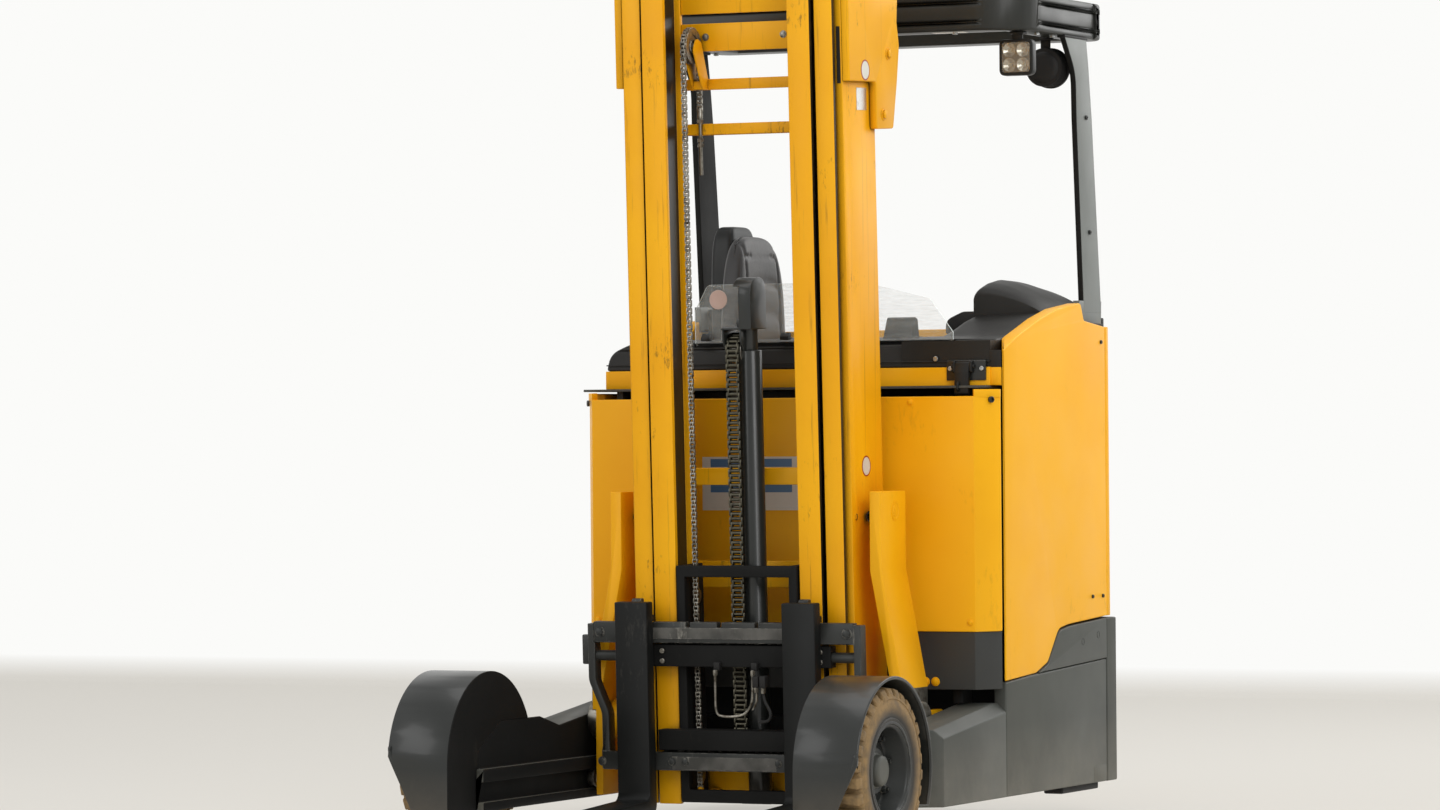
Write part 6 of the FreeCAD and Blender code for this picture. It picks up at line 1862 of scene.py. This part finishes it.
def instrumentHood():
    size = hoodForm
    xs = [size["sweep"] + 9 * i for i in range(8)] + [size["left"] - 2, size["left"] - 0.2, size["left"]]
    xs += [size["left"] + step for step in (1, 3, 6, 10, 15, 21, 28)]
    xs += [size["left"] + 28 + (size["outer"] - size["left"] - 28) * i / 14 for i in range(1, 15)]
    shares = [i / 20 for i in range(20)] + [0.985, 0.9999]
    steps = [0, 1, 3, 6, 10, 16, 24, 34] + [34 + i * 12 for i in range(1, 24)]
    shape = bmesh.new()
    tops = []
    feet = []
    for x in xs:
        share = max(0, (x - size["left"]) / (size["outer"] - size["left"]))
        front = size["frontLeft"] + (size["frontRight"] - size["frontLeft"]) * share
        ys = [size["start"] + (front - 0.1 - size["start"]) * value for value in shares]
        ys += [front + step * (size["end"] - front) / (34 + 23 * 12) for step in steps]
        tops.append([shape.verts.new((x, y, hoodHeight(x, y))) for y in ys])
        feet.append([shape.verts.new((x, y, size["low"])) for y in ys])
    for i in range(len(xs) - 1):
        for j in range(len(tops[0]) - 1):
            shape.faces.new((tops[i][j], tops[i + 1][j], tops[i + 1][j + 1], tops[i][j + 1]))
            shape.faces.new((feet[i][j], feet[i][j + 1], feet[i + 1][j + 1], feet[i + 1][j]))
        for j in (0, -1):
            shape.faces.new((tops[i][j], feet[i][j], feet[i + 1][j], tops[i + 1][j]))
    for i in (0, -1):
        for j in range(len(tops[0]) - 1):
            shape.faces.new((tops[i][j], tops[i][j + 1], feet[i][j + 1], feet[i][j]))
    bmesh.ops.recalc_face_normals(shape, faces=shape.faces)
    return shape


consoleSizes = {"switches": (-120, -74, -28, 18, 64), "sealLow": (-598, 899, 1319),
    "sealHigh": (603, 903, 1322.5)}


def makeConsole():
    # The moulded console has a parting line, a row of switches that face the driver and a domed hood at
    # its end.
    softNode("console_cover", "grainedPlastic", 9, 3)
    finishPiece("instrument_hood_dome", instrumentHood(), "grainedPlastic", stands=["instrument_hood"],
        sharp=32)
    keys = bmesh.new()
    for x in consoleSizes["switches"]:
        addOutline(keys, "X", roundCorners([(1100, 1388), (1136, 1388), (1136, 1398, 3), (1118, 1396, 8),
            (1100, 1402, 3)], 3), x - 17, x + 17, 1.6)
    finishPiece("console_switches", keys, "smoothPlastic")
    seal = made(addBlock, consoleSizes["sealLow"], consoleSizes["sealHigh"], 1, 1)
    finishPiece("console_seal", seal, "blackRubber")
    # A round-topped instrument pod stands on the hood's inner wall and faces the driver.
    pod = bmesh.new()
    addOutline(pod, "Y", roundCorners([(276, 1404, 8), (412, 1404), (412, 1470), (330, 1470, 40),
        (276, 1446, 30)], 8), 1350, 1420, 6, 3)
    finishPiece("instrument_pod", pod, "smoothPlastic")
    dial = bmesh.new()
    addOutline(dial, "Y", roundCorners([(296, 1414, 6), (400, 1414, 6), (400, 1458, 6), (336, 1458, 26),
        (296, 1440, 16)], 6), 1419, 1420.8, 0.4, 1)
    finishPiece("instrument_pod_glass", dial, "displayGlass")


makeSeat()
makeControls()
makePedals()
makeMat()
makeScreen()
makeDisplay()
makeConsole()
print("cab made")


# Overhead guard, posts and lamps

roofSizes = {"half": 620, "front": 1118, "low": 2265}


def makeRoof():
    size = roofSizes
    shape = nodeShape("guard_roof")
    # Shallow seams part the roof's front fascia and its side mouldings.
    cutter = bmesh.new()
    for z in (2288, 2344):
        addBlock(cutter, (-700, size["front"] - 5, z), (700, size["front"] + 2.2, z + 4))
        addSideBlocks(cutter, (size["half"] - 2.2, size["front"] - 5, z), (size["half"] + 5, 1700, z + 4))
    addSideBlocks(cutter, (size["half"] - 2.2, 1672, 2260), (size["half"] + 5, 1676, 2380))
    shape = carved(shape, cutter)
    softNode("guard_roof", "roofShell", 9, 3, 35, shape)
    spots = mirrored([((590, y, size["low"]), (0, 0, -1), 1.0) for y in (1300, 1420, 1640)])
    spots += [((x, 1150, size["low"]), (0, 0, -1), 1.0) for x in (-400, -150, 150, 400)]
    screwsAt("roof_screws", spots, "root", "roof_plastic", head=socketScrew, finish="zincPlate")
    finishPiece("roof_blank_plate", made(addBlock, (330, 1140, size["low"] - 1.4),
        (430, 1178, size["low"] + 1), 0.4, 1), "labelFilm")
    # A rubber strip closes the gap between roof and posts.
    finishPiece("roof_gaskets", made(addSideBlocks, (596, 1440, 2259), (621.5, 1616, 2267), 2), "blackRubber")


def makePosts():
    # The posts are folded from plate and grey outside. The faces towards the driver and the front are
    # painted near black as painted shade.
    posts = softNode("guard_posts", "greyPostEnamel", 3, 3)
    repaint(posts, "greasyShadedSteel",
        lambda spot, facing: facing.x * spot.x < -0.3 * abs(spot.x) or facing.y < -0.45)
    spots = [((620, y, z), (1, 0, 0), 0.85) for y, z in ((1598, 2034), (1618, 1700))]
    screwsAt("post_screws", mirrored(spots), "root", "grey_paint", head=socketScrew, finish="blackEnamel")
    finishPiece("post_foot_gaskets", made(addSideBlocks, (598, 1560, 1426), (642, 1672, 1434), 3),
        "blackRubber")
    # Each post runs on down behind the panel's edge to its foot, with a black bracket at the rear.
    shoes = bmesh.new()
    brackets = bmesh.new()
    for sign in (1, -1):
        low, high = sorted((sign * 600, sign * 619.6))
        addOutline(shoes, "X", [(1538, 1500), (1538, 1426), (1708, 1424), (1712, 1500)], low, high, 1)
        addSideBlock(brackets, sign, (600, 1711, 1420), (619.6, 1732, 1452), 4)
    finishPiece("post_shoes", shoes, "greyPostEnamel")
    finishPiece("post_brackets", brackets, "blackRubber")


lampSizes = {"x": 566, "y": 1200, "z": 2190, "half": 52, "corner": 16, "deep": 40, "roundX": 530,
    "roundY": 1490, "roundZ": 2178}


def makeLamps():
    size = lampSizes
    x = size["x"]
    y = size["y"]
    z = size["z"]
    half = size["half"]
    case = bmesh.new()
    outline = roundBox((x - half, z - half), (x + half, z + half), size["corner"], 5)
    addOutline(case, "Y", outline, y, y + size["deep"] - 12, 3, 2)
    for i in range(7):
        side = x - 42 + i * 14
        addBlock(case, (side - 2, y + 20, z - 40), (side + 2, y + size["deep"], z + 40), 1, 1)
    addOutline(case, "Y", roundCorners([(x - 16, z + 42), (x + 16, z + 42), (x + 16, 2262, 4),
        (x - 16, 2262, 4)], 3), y + 12, y + 18, 1)
    addBlock(case, (x - 22, y + 6, 2257), (x + 22, y + 34, 2264.6), 2, 2)
    cutter = bmesh.new()
    inner = half - 8
    addOutline(cutter, "Y", roundBox((x - inner, z - inner), (x + inner, z + inner), 10, 4), y - 5, y + 12)
    case = carved(case, cutter, Matrix.Identity(4))
    finishPiece("work_lamp_case", case, "smoothPlastic", stands=["work_lamps"])
    # Four reflectors, each a bright bowl round a small emitter.
    bowls = bmesh.new()
    chips = bmesh.new()
    for sideX in (-1, 1):
        for sideZ in (-1, 1):
            centre = (x + sideX * 21, z + sideZ * 21)
            addTurned(bowls, "Y", centre, [(y + 11.5, 0), (y + 11.5, 5), (y + 10, 8), (y + 6, 14),
                (y + 2, 18), (y + 1.6, 19.5), (y + 11.8, 19.5), (y + 11.9, 0)], steps=28)
            addBlock(chips, (centre[0] - 5, y + 9.5, centre[1] - 5), (centre[0] + 5, y + 11, centre[1] + 5),
                1, 1)
    finishPiece("work_lamp_reflectors", bowls, "chromedRod")
    finishPiece("work_lamp_emitters", chips, "labelFilm", slot="clear_sheet")
    finishPiece("work_lamp_glass", made(addOutline, "Y", roundBox((x - inner + 1, z - inner + 1),
        (x + inner - 1, z + inner - 1), 9, 4), y - 0.5, y + 1.2, 0.4, 1), "lampGlass")
    # The round lamp has a ribbed aluminium body and looks to the rear.
    low = size["roundY"]
    centre = (size["roundX"], size["roundZ"])
    body = bmesh.new()
    profile = [(low, 0), (low, 30), (low + 3, 42)]
    for i in range(5):
        rib = low + 8 + i * 9
        profile += [(rib, 46), (rib + 0.5, 56), (rib + 3.5, 56), (rib + 4, 46)]
    profile += [(low + 56, 52), (low + 58, 59), (low + 69, 59), (low + 70, 57), (low + 70, 51),
        (low + 62, 50), (low + 60, 0)]
    addTurned(body, "Y", centre, profile, steps=48)
    addBlock(body, (centre[0] - 15, low + 22, 2228), (centre[0] + 15, low + 28, 2264), 1.5, 2)
    addBlock(body, (centre[0] - 20, low + 14, 2257), (centre[0] + 20, low + 42, 2264.4), 2, 2)
    finishPiece("round_lamp_body", body, "blackRubber")
    finishPiece("round_lamp_lens", made(addTurned, "Y", centre, [(low + 61, 0), (low + 61, 49.5),
        (low + 66, 49.5), (low + 69, 40), (low + 71.5, 20), (low + 72, 0)], steps=40), "lampGlass")


makeRoof()
makePosts()
makeLamps()
print("guard and lamps made")


# Reach carriage and mast paint

def makeReach():
    # The uprights' pivot pins end in flush slotted heads.
    pins = bmesh.new()
    for sign in (1, -1):
        addTurned(pins, "X", (655, 905), [(sign * 402, 0), (sign * 402, 27), (sign * 418.4, 27),
            (sign * 418.4, 23), (sign * 417.4, 22), (sign * 417.4, 15), (sign * 418.6, 14),
            (sign * 418.6, 0)], steps=36)
        addSideBlock(pins, sign, (418, 653, 893), (419.4, 657, 917), 0.5, 1)
    finishPiece("upright_pin_heads", pins, "yellowEnamel", "reach_carriage")
    discs = bmesh.new()
    for sign in (1, -1):
        addTurned(discs, "X", (639, 317), [(sign * 506.5, 0), (sign * 506.5, 20), (sign * 505.4, 22),
            (sign * 505.4, 44), (sign * 506.4, 46), (sign * 506.4, 58), (sign * 500, 59.5), (sign * 500, 0)],
            steps=40)
    finishPiece("tilt_pivot_caps", discs, "greasedSteel", "reach_carriage")
    spots = [((468.2, y, z), (1, 0, 0), 1.3)
        for y, z in ((720, 300), (800, 300), (840, 230), (840, 130), (700, 150))]
    screwsAt("cheek_screws", mirrored(spots), "reach_carriage", "yellow_paint", finish="yellowEnamel")
    # The pivot discs outside the cheeks are bare grey castings.
    repaint(bpy.data.objects["reach_uprights_skin"], "greasedSteel", lambda spot, facing: abs(spot.x) > 0.47)
    # The tilt rods end beside the mast, behind the uprights' front edges.
    rods = nodeShape("tilt_rods")
    cutFlat(rods, chassisPlace @ Vector((0, 645, 889)), Vector((0, -1, 0)))
    softNode("tilt_rods", "chromedRod", 1, 2, 30, rods)


def greaseAndShadeRails():
    # The mast's running faces are brown with grease and darkened as painted shade, while the faces that
    # nothing touches stay yellow.
    for stage in ("outer", "middle", "inner"):
        piece = bpy.data.objects[stage + "_mast_rails_skin"]
        repaint(piece, "greasedShadedRail", lambda spot, facing: abs(facing.x) > 0.6 and 0.2 < abs(spot.x) < 0.33)


makeReach()
greaseAndShadeRails()
print("reach carriage made")
